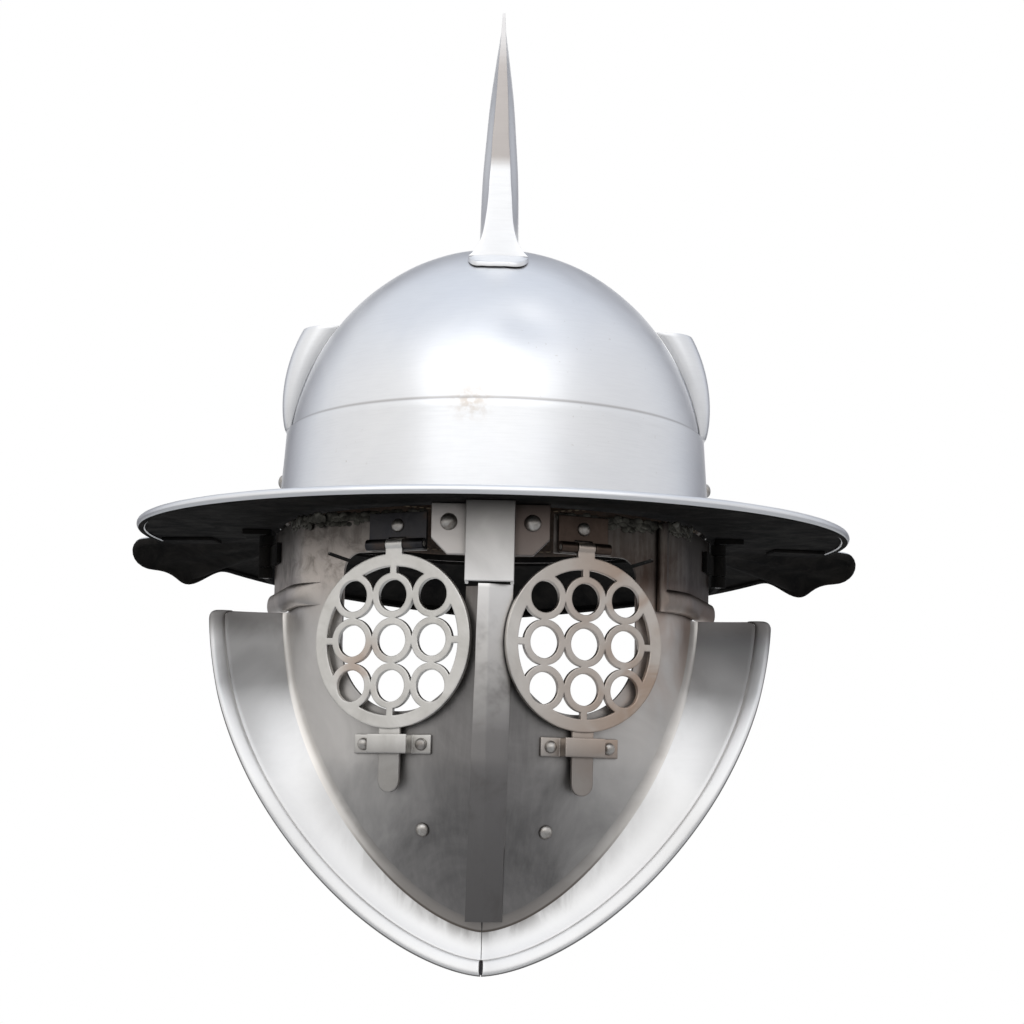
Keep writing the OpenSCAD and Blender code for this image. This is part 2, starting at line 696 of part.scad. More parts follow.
module liner_cap() {
    rows = 7;
    from = dome_level + lap_gap;
    // The lower edge stands on the headband and the crown hangs clear of the dome
    function inset(f) = sheet + 2 * lap_gap + (cap_space - lap_gap) * smooth(f * 2.5);
    function ring(f, more) =
        let (in = inset(f) + more, z = from + (dome_rise + dome_level - from - in) * sin(90 * f))
        [for (j = [0:around - 1]) dome_point(j * 360 / around, z, in)];
    crown = dome_level + dome_rise - inset(1);
    color(leather) cap_shell([for (i = [0:rows - 1]) ring(i / rows, 0)], [0, 0, crown],
        [for (i = [0:rows - 1]) ring(i / rows, leather_t)], [0, 0, crown - leather_t]);
}

// Visor halves

chin_angle = 86;
notch_gap = 1.6;
module cheek_plate(side) {
    angles = [for (i = [0:cheek_rows]) chin_angle * (1 - i / cheek_rows)];
    start = plan_length(seam_gap / 2);
    back_start = start + visor_sheet * tan(cheek_yaw);
    stop = plan_length(crease_half_width);
    rows = concat([for (a = angles) [crease_z(a), plan_length(crease_x(a))]], [[visor_top, stop]]);
    function place(r, j, from) = from + (r[1] - from) * j / cheek_cols;
    notch_half = tab_half_width + notch_gap;
    notch_depth = tab_drop + tab_chamfer;
    cut_depth = 40;
    color(cheek_steel) on_side(side) difference() {
        grid_sheet(
            [for (r = rows) [for (j = [0:cheek_cols]) visor_point(place(r, j, start), r[0])]],
            [for (r = rows) [for (j = [0:cheek_cols])
                visor_point(place(r, j, back_start), r[0], -visor_sheet)]]);
        eye_frame() translate([0, 0, -cut_depth / 2]) linear_extrude(cut_depth) eye_opening();
        translate([-1, -ridge_reach - 5, -notch_depth]) cube([notch_half + 1, cut_depth, notch_depth]);
        translate([-1, -ridge_reach - 5, -channel_drop - notch_gap])
            cube([channel_w / 2 + notch_gap + 1, cut_depth, channel_drop]);
    }
}

module cheek_flange(side) {
    shares = [1, 0.66, 0.33, 0];
    angles = [for (j = [0:flange_cols]) 90 * (1 - j / flange_cols)];
    function reach(a, s) = lap_gap + (flange_width(a) - border_w - seat_gap - lap_gap) * s;
    color(steel) on_side(side) grid_sheet(
        [for (s = shares) [for (a = angles) flange_point(a, reach(a, s))]],
        [for (s = shares) [for (a = angles)
            seam_clear(flange_point(a, reach(a, s)) - visor_sheet * flange_normal(a))]]);
}

module flange_border(side) {
    angles = [for (j = [0:flange_cols]) 90 * (1 - j / flange_cols)];
    section = [[0, 0.5], [0.2, 0.9], [0.8, 1], [1, 0.6], [1, 0], [0.8, -0.4], [0.2, -0.4], [0, -0.2]];
    color(steel) on_side(side) bar([for (a = angles)
        let (base = flange_point(a, flange_width(a) - border_w))
        [for (k = section)
            seam_clear(base + k.x * border_w * flange_way(a)
                + (k.y * border_t - border_t * 0.3 - visor_sheet * 0.2) * flange_normal(a))]]);
}

// Upper side walls with a rounded bead along the lower edge
bead_h = 10;
bead_out = 2.4;
wall_lap = 7;
module temple_wall(side) {
    start = plan_length(bend_start + wall_lap);
    low = -crease_top + hinge_top_gap;
    levels = concat([for (i = [0:6]) low + bead_h * (1 - cos(180 * i / 6)) / 2], [visor_top]);
    function swell(z) = bead_out * sqrt(max(0, 1 - pow((z - low - bead_h / 2) / (bead_h / 2), 2)));
    function place(j) = start + (temple_l - start) * j / side_steps;
    function flat_end(j) = j < side_steps / 2 ? 1 : 0;
    color(cheek_steel) on_side(side) grid_sheet(
        [for (z = levels) [for (j = [0:side_steps])
            visor_point(place(j), z, temple_off + swell(z) * flat_end(j))]],
        [for (z = levels) [for (j = [0:side_steps]) visor_point(place(j), z, lap_gap)]]);
}

// Strip over the seam: its right leg lies on the right cheek and its left leg crosses the seam flat
module centre_strip() {
    low = -chin_depth + 2;
    high = -channel_drop - 0.8;
    steps = 12;
    function face(x, off) = -ridge_reach - strip_gap - off + max(0, x) * tan(cheek_yaw);
    function skin(k, x, off) = let (z = low + (high - low) * k / steps)
        [x, face(x, off) + lean(z), z];
    color(cheek_steel) grid_sheet(
        [for (k = [0:steps]) [for (x = [-strip_left, 0, strip_right]) skin(k, x, visor_sheet)]],
        [for (k = [0:steps]) [for (x = [-strip_left, 0, strip_right]) skin(k, x, 0)]]);
}

// Eye grilles and what holds them

// Opening behind a grille, with a relief slit where the cheek starts to bend
module eye_opening() {
    corner_r = 8;
    slit_w = 1.6;
    side_x = eye_r - corner_r - 0.5;
    eye_top = grille_d / 2 + eye_above;
    corner_y = eye_top - corner_r;
    translate([-eye_shift, 0]) {
        hull() {
            circle(r = eye_r);
            for (x = [-side_x - eye_shift / 2, side_x]) translate([x, corner_y]) circle(r = corner_r);
        }
        hull() {
            translate([side_x + corner_r / 2, eye_top - corner_r / 2]) circle(d = slit_w);
            translate([side_x + 2 * corner_r, eye_top]) circle(d = slit_w);
        }
    }
}

module grille_plan() {
    difference() {
        union() {
            difference() {
                circle(d = grille_d);
                circle(d = grille_d - 2 * ring_w);
            }
            intersection() {
                circle(d = grille_d - ring_w);
                union() {
                    for (i = [-1:1], k = [-1:1])
                        translate([i, k] * hole_pitch) circle(d = hole_d + 2 * web_w);
                    square([grille_d, web_w], center = true);
                    square([web_w, grille_d], center = true);
                }
            }
        }
        for (i = [-1:1], k = [-1:1])
            translate([i, k] * hole_pitch) circle(d = hole_d);
    }
}

module eye_grille(side) {
    edge = grille_d / 2;
    color(grille_steel) on_side(side) eye_frame() difference() {
        union() {
            translate([0, 0, grille_lift]) linear_extrude(grille_t) grille_plan();
            translate([0, 0, grille_lift]) linear_extrude(visor_sheet) {
                translate([-tongue_w / 2, -edge - tongue_l + tongue_w / 2])
                    square([tongue_w, tongue_l - tongue_w / 2 + 2]);
                translate([0, -edge - tongue_l + tongue_w / 2]) circle(d = tongue_w);
            }
            translate([-lug_w / 2, edge - 1, grille_lift]) cube([lug_w, pin_up - edge + 1, grille_t]);
            translate([-lug_w / 2, pin_up, pin_out]) rotate([0, 90, 0]) cylinder(h = lug_w, d = knuckle_d);
        }
        translate([-lug_w, pin_up, pin_out]) rotate([0, 90, 0])
            cylinder(h = 2 * lug_w, d = pin_d + 2 * run_gap);
    }
}

function leaf_w(side) = side > 0 ? leaf_w_right : leaf_w_left;

module grille_hinge_plate(side) {
    half = leaf_w(side) / 2;
    strap = half - lug_w / 2 - knuckle_gap;
    clear_up = knuckle_d / 2 + knuckle_gap * 2;
    color(side > 0 ? cheek_steel : dark_steel) on_side(side) eye_frame()
        translate([0, pin_up, 0]) difference() {
            union() {
                translate([-half, clear_up, seat_gap]) cube([2 * half, leaf_h - clear_up, visor_sheet]);
                for (x = [-half, half - strap]) translate([x, 0, 0]) {
                    translate([0, 0, seat_gap]) cube([strap, clear_up + 1, visor_sheet]);
                    translate([0, 0, pin_out]) rotate([0, 90, 0]) cylinder(h = strap, d = knuckle_d);
                }
            }
            translate([-2 * half, 0, pin_out]) rotate([0, 90, 0])
                cylinder(h = 4 * half, d = pin_d + 2 * hold_gap);
        }
}

module grille_pin(side) {
    color(steel) on_side(side) eye_frame() translate([-leaf_w(side) / 2, pin_up, pin_out])
        rotate([0, 90, 0]) cylinder(h = leaf_w(side), d = pin_d);
}

module hinge_rivet(side) {
    color(grille_steel) on_side(side) eye_frame()
        translate([0, pin_up + leaf_h * 0.6, visor_sheet + 2 * seat_gap]) rivet_head(6, 1.8);
}

keeper_up = -grille_d / 2 - keeper_drop;
module keeper(side) {
    half = bridge_w / 2;
    end = half + keeper_foot;
    low = seat_gap;
    high = keeper_room;
    hat = [[-end, low], [-half + keeper_t, low], [-half + keeper_t, high], [half - keeper_t, high],
        [half - keeper_t, low], [end, low], [end, low + keeper_t], [half, low + keeper_t],
        [half, high + keeper_t], [-half, high + keeper_t], [-half, low + keeper_t], [-end, low + keeper_t]];
    color(cheek_steel) on_side(side) eye_frame()
        translate([0, keeper_up, 0]) rotate([90, 0, 0]) linear_extrude(keeper_h) polygon(hat);
}

module keeper_rivets(side) {
    color(grille_steel) on_side(side) eye_frame() for (x = [-1, 1])
        translate([x * (bridge_w + keeper_foot) / 2, keeper_up - keeper_h / 2, keeper_t + 2 * seat_gap])
            rivet_head(5.4, 2.4);
}

stud_x = 26;
stud_above_chin = 40;
stud_depth = chin_depth - stud_above_chin;
module cheek_stud(side) {
    at = visor_point(plan_length(stud_x), -stud_depth, 2 * facet_gap);
    color(grille_steel) on_side(side) translate(at) rotate([0, 0, cheek_yaw])
        rotate([90 + lean_angle(-stud_depth), 0, 0]) rivet_head(6, 2.2);
}

dome_cap();
bowl_band();
front_brim();
front_rim();
neck_guard();
brim_joint_straps();
crest_side(1);  // crest_side_right
crest_side(-1);  // crest_side_left
crest_front_strip();
crest_foot();
plume_holder(1);  // plume_holder_right
plume_holder(-1);  // plume_holder_left
band_side_rivets();
brow_plate();
brow_bracket();
bracket_rivets();
side_hinge_bracket(1);  // side_hinge_bracket_right
side_hinge_bracket(-1);  // side_hinge_bracket_left
side_hinge_pin(1);  // side_hinge_pin_right
side_hinge_pin(-1);  // side_hinge_pin_left
liner_band();
liner_cap();
cheek_plate(1);  // cheek_plate_right
cheek_plate(-1);  // cheek_plate_left
cheek_flange(1);  // cheek_flange_right
cheek_flange(-1);  // cheek_flange_left
flange_border(1);  // flange_border_right
flange_border(-1);  // flange_border_left
temple_wall(1);  // temple_wall_right
temple_wall(-1);  // temple_wall_left
side_hinge_leaf(1);  // side_hinge_leaf_right
side_hinge_leaf(-1);  // side_hinge_leaf_left
centre_strip();
grille_hinge_plate(1);  // grille_hinge_plate_right
grille_hinge_plate(-1);  // grille_hinge_plate_left
grille_pin(1);  // grille_pin_right
grille_pin(-1);  // grille_pin_left
hinge_rivet(1);  // hinge_rivet_right
hinge_rivet(-1);  // hinge_rivet_left
keeper(1);  // keeper_right
keeper(-1);  // keeper_left
keeper_rivets(1);  // keeper_rivets_right
keeper_rivets(-1);  // keeper_rivets_left
cheek_stud(1);  // cheek_stud_right
cheek_stud(-1);  // cheek_stud_left
eye_grille(1);  // eye_grille_right
eye_grille(-1);  // eye_grille_left
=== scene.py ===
"""Visored gladiator helmet: smooth steel sheets, worn fittings, leather liner and a plain studio."""

import math

import bmesh
import bpy
import numpy as np
from mathutils import Matrix, Vector, kdtree, noise


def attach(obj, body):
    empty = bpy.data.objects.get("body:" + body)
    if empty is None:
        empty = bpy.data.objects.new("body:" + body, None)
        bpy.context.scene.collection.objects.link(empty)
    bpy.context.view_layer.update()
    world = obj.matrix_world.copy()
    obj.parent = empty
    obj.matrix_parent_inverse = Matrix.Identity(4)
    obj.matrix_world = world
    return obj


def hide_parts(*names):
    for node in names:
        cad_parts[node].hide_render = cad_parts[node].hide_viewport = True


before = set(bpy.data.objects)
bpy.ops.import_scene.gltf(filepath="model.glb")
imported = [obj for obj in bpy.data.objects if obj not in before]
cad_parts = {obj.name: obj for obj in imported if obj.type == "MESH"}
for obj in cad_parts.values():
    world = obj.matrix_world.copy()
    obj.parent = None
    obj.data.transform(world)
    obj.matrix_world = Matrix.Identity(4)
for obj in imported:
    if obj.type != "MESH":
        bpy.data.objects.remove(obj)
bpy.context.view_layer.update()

# Sizes of the helmet in millimetres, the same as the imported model's
MM = 0.001
BOWL_HALF_WIDTH = 100.0
BOWL_HALF_LENGTH = 118.0
BOWL_STRETCH = BOWL_HALF_LENGTH - BOWL_HALF_WIDTH
DOME_LEVEL = 30.0
DOME_RISE = 108.0
DOME_TOP = DOME_LEVEL + DOME_RISE
DOME_FROM = 32.0
BAND_TOP = 46.0
BAND_FLARE = 3.2
BAND_EASE = 0.15
SHEET = 1.6
LAP_GAP = 0.4
SEAT_GAP = 0.05

BRIM_HALF_WIDTH = 171.0
BRIM_REACH = 163.0
BRIM_END_AT = 100
BRIM_END = math.radians(BRIM_END_AT)
BRIM_EASE = 0.2
RIM_D = 4.6
GUARD_REACH = 160.0
GUARD_DROP = 24.5
GUARD_ROLL = 2.0
# Ear and lobe on each side of the neck guard: degrees from the front, spread, reach and fall
EAR_AT, EAR_SPREAD, EAR_REACH, EAR_FALL = 108, 4.6, 28, 6
LOBE_AT, LOBE_SPREAD, LOBE_REACH, LOBE_FALL = 115, 3, 8, 9.5
FALL_FROM, FALL_SOFT = 105.3, 5

CREST_FRONT = 60.0
CREST_REAR = 102.0
CREST_TIP = 241.0
CREST_HALF_THICK = 8.2
CREST_SHEET = 1.2
CREST_SWEEP = 1.8
CREST_EDGE_HALF = 1.1
CREST_TAPER = 2.2
FOOT_HALF_WIDTH = 14.0
FOOT_REACH = 11.0

PLUME_FOOT = 48.0
PLUME_TOP = 99.0
PLUME_DEPTH = 15.0
PLUME_HALF_WIDTH = 15.0
PLUME_SHEET = 1.2

UNDER_BRIM = -SHEET
VISOR_TOP = UNDER_BRIM - 3.6
RIDGE_REACH = 137.0
CHEEK_YAW = math.radians(26)
BEND_START = 66.0
BEND_RADIUS = 40.0
TEMPLE_YAW = math.radians(75)
TEMPLE_HALF_WIDTH = 100.0
TEMPLE_LAP = 7.0
CREASE_HALF_WIDTH = 92.0
CREASE_TOP = 45.0
CREASE_POWER = 2 / 1.65
CHIN_DEPTH = 181.0
CHIN_SETBACK = 19.0
LEAN_START = 112.0
LEAN_POWER = 1.4
VISOR_SHEET = 1.5
SEAM_GAP = 1.2
FLANGE_HALF_WIDTH = 127.0
FLANGE_DEPTH = 201.0
FLANGE_FORWARD = 9.0
FLANGE_DISH = 2.5
BORDER_W = 7.0
BORDER_T = 3.0
STRIP_LEFT = 4.6
STRIP_RIGHT = 10.4
STRIP_GAP = 0.5
CHANNEL_W = 21.0
CHANNEL_DROP = 36.5
TAB_HALF_WIDTH = 25.5
TAB_DROP = 24.0
TAB_FACE = 126.0
NOTCH_GAP = 1.6
EYE_X = 39.5
EYE_DEPTH = 61.0
EYE_R = 30.0
EYE_TOP = 39.0
EYE_SHIFT = 2.5
EYE_CORNER_R = 8.0
SLIT_W = 1.6
GRILLE_D = 75.0
LEATHER_T = 3.0
CAP_SPACE = 7.0

SIDES = {1: "right", -1: "left"}


def share(t):
    """Smooth step from 0 to 1."""
    c = min(1.0, max(0.0, t))
    return c * c * (3 - 2 * c)


def bump_at(value, middle, width):
    """Bell-shaped hump of height 1."""
    return math.exp(-(((value - middle) / width) ** 2))


def signed_power(value, power):
    return math.copysign(abs(value) ** power, value)


def joined(rows):
    return [p for row in rows for p in row]


# Curves of the bowl, the brim and the crest


def dome_point(angle, z, inset=0.0):
    k = math.sqrt(max(0.0, 1 - ((z - DOME_LEVEL) / (DOME_RISE - inset)) ** 2))
    return np.array((
        (BOWL_HALF_WIDTH - inset) * k * math.sin(angle),
        -(BOWL_HALF_LENGTH - inset) * k * math.cos(angle),
        z,
    ))


def dome_height(x, y, gap=0.0):
    inside = 1 - (x / (BOWL_HALF_WIDTH + gap)) ** 2 - (y / (BOWL_HALF_LENGTH + gap)) ** 2
    return DOME_LEVEL + (DOME_RISE + gap) * math.sqrt(max(0.0, inside))


BAND_INNER_TOP = (
    BOWL_HALF_WIDTH * math.sqrt(1 - ((BAND_TOP - DOME_LEVEL) / DOME_RISE) ** 2) + LAP_GAP + BAND_EASE
)


def band_inner(z):
    return BAND_INNER_TOP + BAND_FLARE * (BAND_TOP - z) / BAND_TOP


def hoop_point(angle, half, z):
    return np.array((half * math.sin(angle), -(half + BOWL_STRETCH) * math.cos(angle), z))


BRIM_INNER = band_inner(0) + BRIM_EASE


def polar_reach(angle, across, along):
    return 1 / math.hypot(math.sin(angle) / across, math.cos(angle) / along)


def guard_out(angle):
    degrees = math.degrees(angle)
    return (
        polar_reach(angle, BRIM_HALF_WIDTH - RIM_D, GUARD_REACH)
        + EAR_REACH * bump_at(degrees, EAR_AT, EAR_SPREAD)
        + LOBE_REACH * bump_at(degrees, LOBE_AT, LOBE_SPREAD)
    )


def guard_fall(angle):
    degrees = math.degrees(angle)
    behind = max(0.0, degrees - BRIM_END_AT) / (180 - BRIM_END_AT)
    return share((degrees - FALL_FROM) / FALL_SOFT) * (
        EAR_FALL * bump_at(degrees, EAR_AT, EAR_SPREAD)
        + LOBE_FALL * bump_at(degrees, LOBE_AT, LOBE_SPREAD)
        + GUARD_DROP * behind**0.75
    )


def guard_point(angle, across, lift=0.0, inset=0.0):
    """Point of the neck guard at an angle from the front and a share of its width."""
    folded = 2 * math.pi - angle if angle > math.pi else angle
    inner = polar_reach(folded, BRIM_INNER, BRIM_INNER + BOWL_STRETCH)
    reach = inner + (guard_out(folded) - inner) * across - inset
    return np.array((
        reach * math.sin(angle),
        -reach * math.cos(angle),
        lift - guard_fall(folded) * across**1.4,
    ))


CREST_REAR_Z = dome_height(0, CREST_REAR)


def crest_edge(y):
    t = (y + CREST_FRONT) / (CREST_REAR + CREST_FRONT)
    return CREST_REAR_Z + (CREST_TIP - CREST_REAR_Z) * max(0.0, 1 - t**CREST_SWEEP) ** (1 / CREST_SWEEP)


def crest_half(f):
    return CREST_EDGE_HALF + (CREST_HALF_THICK - 0.2) * (1 - f**CREST_TAPER)


def crest_base(y):
    return dome_height(crest_half(0), y, LAP_GAP) + 0.1


# Curves of the visor, by the length along its plan from the ridge

FLAT_L = BEND_START / math.cos(CHEEK_YAW)
BEND_L = BEND_RADIUS * (TEMPLE_YAW - CHEEK_YAW)


def bend_point(a):
    """Point of the plan's round bend where it has turned to an angle."""
    return np.array((
        BEND_START + BEND_RADIUS * (math.sin(a) - math.sin(CHEEK_YAW)),
        BEND_START * math.tan(CHEEK_YAW) - RIDGE_REACH + BEND_RADIUS * (math.cos(CHEEK_YAW) - math.cos(a)),
    ))


BEND_END = bend_point(TEMPLE_YAW)


def plan_angle(u):
    if u <= FLAT_L:
        return CHEEK_YAW
    return min(TEMPLE_YAW, CHEEK_YAW + (u - FLAT_L) / BEND_RADIUS)


def plan_point(u):
    if u <= FLAT_L:
        return np.array((u * math.cos(CHEEK_YAW), u * math.sin(CHEEK_YAW) - RIDGE_REACH))
    if u >= FLAT_L + BEND_L:
        past = u - FLAT_L - BEND_L
        return BEND_END + past * np.array((math.cos(TEMPLE_YAW), math.sin(TEMPLE_YAW)))
    return bend_point(plan_angle(u))


def plan_length(x):
    if x <= BEND_START:
        return x / math.cos(CHEEK_YAW)
    if x >= BEND_END[0]:
        return FLAT_L + BEND_L + (x - BEND_END[0]) / math.cos(TEMPLE_YAW)
    turned = math.asin((x - BEND_START) / BEND_RADIUS + math.sin(CHEEK_YAW))
    return FLAT_L + BEND_RADIUS * (turned - CHEEK_YAW)


def lean(z):
    return CHIN_SETBACK * (max(0.0, -z - LEAN_START) / (CHIN_DEPTH - LEAN_START)) ** LEAN_POWER


def visor_point(u, z, off=0.0):
    a = plan_angle(u)
    x, y = plan_point(u)
    return np.array((x + off * math.sin(a), y - off * math.cos(a) + lean(z), z))


def crease_point(a):
    x = max(SEAM_GAP / 2, CREASE_HALF_WIDTH * max(0.0, math.cos(a)) ** CREASE_POWER)
    z = -CREASE_TOP - (CHIN_DEPTH - CREASE_TOP) * math.sin(a) ** CREASE_POWER
    return visor_point(plan_length(x), z)


def flange_edge(a):
    return np.array((
        max(SEAM_GAP / 2, FLANGE_HALF_WIDTH * max(0.0, math.cos(a)) ** CREASE_POWER),
        crease_point(a)[1] - FLANGE_FORWARD,
        -CREASE_TOP - (FLANGE_DEPTH - CREASE_TOP) * math.sin(a) ** CREASE_POWER,
    ))


def flange_frame(a):
    """Start, outward way, width and front normal of the flange at an angle from the temple."""
    start = crease_point(a)
    way = flange_edge(a) - start
    width = np.linalg.norm(way)
    step = math.radians(2)
    along = crease_point(max(0.0, a - step)) - crease_point(min(math.pi / 2, a + step))
    normal = np.cross(along, -way)
    return start, way / width, width, normal / np.linalg.norm(normal)


def flange_point(a, d):
    start, way, width, _ = flange_frame(a)
    dish = FLANGE_DISH * math.sin(math.pi * d / width)
    return start + d * way + np.array((0.0, dish, 0.0))


# The seam at the chin: half its visible line, and how much of the sheet is drawn up to it
SEAM_LINE = 0.15
SEAM_DRAW = 2
# Mark of the border's outer face, past the flange's own 0 to 1, where the flange's finish paints shade
SHADED_EDGE = 1.5


def seam_drawn(p):
    """Draws the last of the sheet at the chin up to the thin line of the seam."""
    x = max(p[0], SEAM_GAP / 2)
    if x < SEAM_DRAW:
        x = SEAM_LINE + (x - SEAM_GAP / 2) * (SEAM_DRAW - SEAM_LINE) / (SEAM_DRAW - SEAM_GAP / 2)
    return np.array((x, p[1], p[2]))


# Mesh making


def ripple(p, size, seed):
    """Soft noise from -1 to 1 at a place in millimetres, with bumps of about that size."""
    return noise.noise(Vector((p[0] / size + seed, p[1] / size - seed, p[2] / size + 2 * seed)))


def placed(name, data):
    """New object, linked to the scene."""
    obj = bpy.data.objects.new(name, data)
    bpy.context.scene.collection.objects.link(obj)
    return obj


def to_mesh(name, points, faces, side=1):
    """Closed mesh from points in millimetres, mirrored for the left side, with its faces turned outward."""
    mesh = bpy.data.meshes.new(name)
    mesh.from_pydata([(p[0] * side * MM, p[1] * MM, p[2] * MM) for p in points], [], faces)
    shape = bmesh.new()
    shape.from_mesh(mesh)
    bmesh.ops.remove_doubles(shape, verts=shape.verts, dist=1e-7)
    bmesh.ops.recalc_face_normals(shape, faces=shape.faces)
    shape.to_mesh(mesh)
    shape.free()
    return placed(name, mesh)


def sheet_piece(name, outer, inner, side=1, wrap=False):
    """Sheet between two grids of points."""
    rows, cols = len(outer), len(outer[0])
    size = rows * cols
    last = cols if wrap else cols - 1

    def at(i, j):
        return i * cols + j % cols

    faces = []
    for i in range(rows - 1):
        for j in range(last):
            a, b, c, d = at(i, j), at(i, j + 1), at(i + 1, j + 1), at(i + 1, j)
            faces += [(a, b, c, d), (a + size, d + size, c + size, b + size)]
    for j in range(last):
        a, b, c, d = at(0, j), at(0, j + 1), at(rows - 1, j + 1), at(rows - 1, j)
        faces += [(b, a, a + size, b + size), (d, c, c + size, d + size)]
    if not wrap:
        for i in range(rows - 1):
            a, d, b, c = at(i, 0), at(i + 1, 0), at(i, cols - 1), at(i + 1, cols - 1)
            faces += [(a, d, d + size, a + size), (c, b, b + size, c + size)]
    return to_mesh(name, joined(outer) + joined(inner), faces, side)


def skin_sheet(name, skin, rows, cols, outer, inner, side=1):
    """Sheet whose points come from a row, a column and a distance from its own ground."""
    grids = [
        [[skin(i, j, off) for j in range(cols + 1)] for i in range(rows + 1)]
        for off in (outer, inner)
    ]
    return sheet_piece(name, *grids, side)


def cap_piece(name, outer, outer_apex, inner, inner_apex):
    """Dome-shaped shell between two sets of rings."""
    rows, cols = len(outer), len(outer[0])
    size = rows * cols
    tip = 2 * size

    def at(i, j):
        return i * cols + j % cols

    faces = []
    for j in range(cols):
        for i in range(rows - 1):
            a, b, c, d = at(i, j), at(i, j + 1), at(i + 1, j + 1), at(i + 1, j)
            faces += [(a, b, c, d), (a + size, d + size, c + size, b + size)]
        a, b, c, d = at(0, j), at(0, j + 1), at(rows - 1, j), at(rows - 1, j + 1)
        faces += [(b, a, a + size, b + size), (c, d, tip), (d + size, c + size, tip + 1)]
    return to_mesh(name, joined(outer) + joined(inner) + [outer_apex, inner_apex], faces)


def swept_piece(name, rings, side=1, loop=False):
    """Solid bar through rings of points, closed at its ends or joined into a loop."""
    count, sides = len(rings), len(rings[0])
    faces = []
    for i in range(count if loop else count - 1):
        for j in range(sides):
            k, n = (j + 1) % sides, (i + 1) % count
            faces.append((i * sides + j, i * sides + k, n * sides + k, n * sides + j))
    if not loop:
        faces.append(tuple(range(sides)))
        faces.append(tuple((count - 1) * sides + j for j in reversed(range(sides))))
    return to_mesh(name, joined(rings), faces, side)


def applied(obj):
    """Puts the result of an object's modifiers into its own mesh."""
    graph = bpy.context.evaluated_depsgraph_get()
    made = bpy.data.meshes.new_from_object(obj.evaluated_get(graph))
    obj.modifiers.clear()
    old = obj.data
    obj.data = made
    made.name = obj.name
    bpy.data.meshes.remove(old)
    return obj


def eased(obj, width, steps=2):
    """Rounds the sharp edges of a made piece."""
    bevel = obj.modifiers.new("eased_edges", "BEVEL")
    bevel.width = width * MM
    bevel.segments = steps
    bevel.limit_method = "ANGLE"
    bevel.angle_limit = math.radians(50)
    bevel.miter_outer = "MITER_ARC"
    return applied(obj)


def shaded(obj, angle=40):
    obj.data.shade_smooth()
    obj.data.set_sharp_from_angle(angle=math.radians(angle))
    return obj


def cut(obj, *tools):
    """Takes the tools' volumes out of a piece and removes the tools."""
    for tool in tools:
        boolean = obj.modifiers.new("cut", "BOOLEAN")
        boolean.operation = "DIFFERENCE"
        boolean.solver = "EXACT"
        boolean.object = tool
    bpy.context.view_layer.update()
    applied(obj)
    for tool in tools:
        bpy.data.objects.remove(tool)


def eased_copy(node, width):
    """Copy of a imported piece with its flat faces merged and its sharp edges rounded."""
    flat, sharp_over = math.radians(0.8), math.radians(35)
    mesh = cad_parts[node].data.copy()
    shape = bmesh.new()
    shape.from_mesh(mesh)
    bmesh.ops.remove_doubles(shape, verts=shape.verts, dist=1e-6)
    bmesh.ops.dissolve_limit(
        shape,
        angle_limit=flat,
        verts=shape.verts,
        edges=shape.edges,
        use_dissolve_boundaries=False,
    )
    sharp = [e for e in shape.edges if len(e.link_faces) == 2 and e.calc_face_angle(0.0) > sharp_over]
    bmesh.ops.bevel(
        shape,
        geom=sharp,
        offset=width * MM,
        offset_type="OFFSET",
        segments=2,
        profile=0.5,
        affect="EDGES",
        clamp_overlap=True,
        miter_outer="ARC",
    )
    shape.to_mesh(mesh)
    shape.free()
    mesh.materials.clear()
    return placed(node + "_worn", mesh)


def mark_across(obj, points, values, side):
    """Stores at every point of a piece, for its finish, the value of the nearest point it was made from."""
    places = kdtree.KDTree(len(points))
    for i, p in enumerate(points):
        places.insert((p[0] * side, p[1], p[2]), i)
    places.balance()
    across = obj.data.attributes.new("across", "FLOAT", "POINT")
    across.data.foreach_set("value", [values[places.find(v.co / MM)[1]] for v in obj.data.vertices])


def settle(obj, body, slot, material, *nodes):
    """Gives a finished piece its material and its body, and hides the nodes it stands for; the slot is not
    used.
    """
    obj.data.materials.clear()
    obj.data.materials.append(material)
    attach(obj, body)
    if nodes:
        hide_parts(*nodes)


# Material making


def add_node(tree, kind, inputs=None, **settings):
    """New node with its settings; each named input takes a link from an output or a plain value."""
    node = tree.nodes.new(kind)
    for key, value in settings.items():
        setattr(node, key, value)
    for key, value in (inputs or {}).items():
        if isinstance(value, bpy.types.NodeSocket):
            tree.links.new(value, node.inputs[key])
        else:
            node.inputs[key].default_value = value
    return node


def set_stops(ramp, stops):
    """Gives a colour ramp its stops, each a place and a colour."""
    marks = ramp.elements
    while len(marks) < len(stops):
        marks.new(0.5)
    for mark, (at, colour) in zip(marks, stops):
        mark.position = at
        mark.color = (*colour, 1)


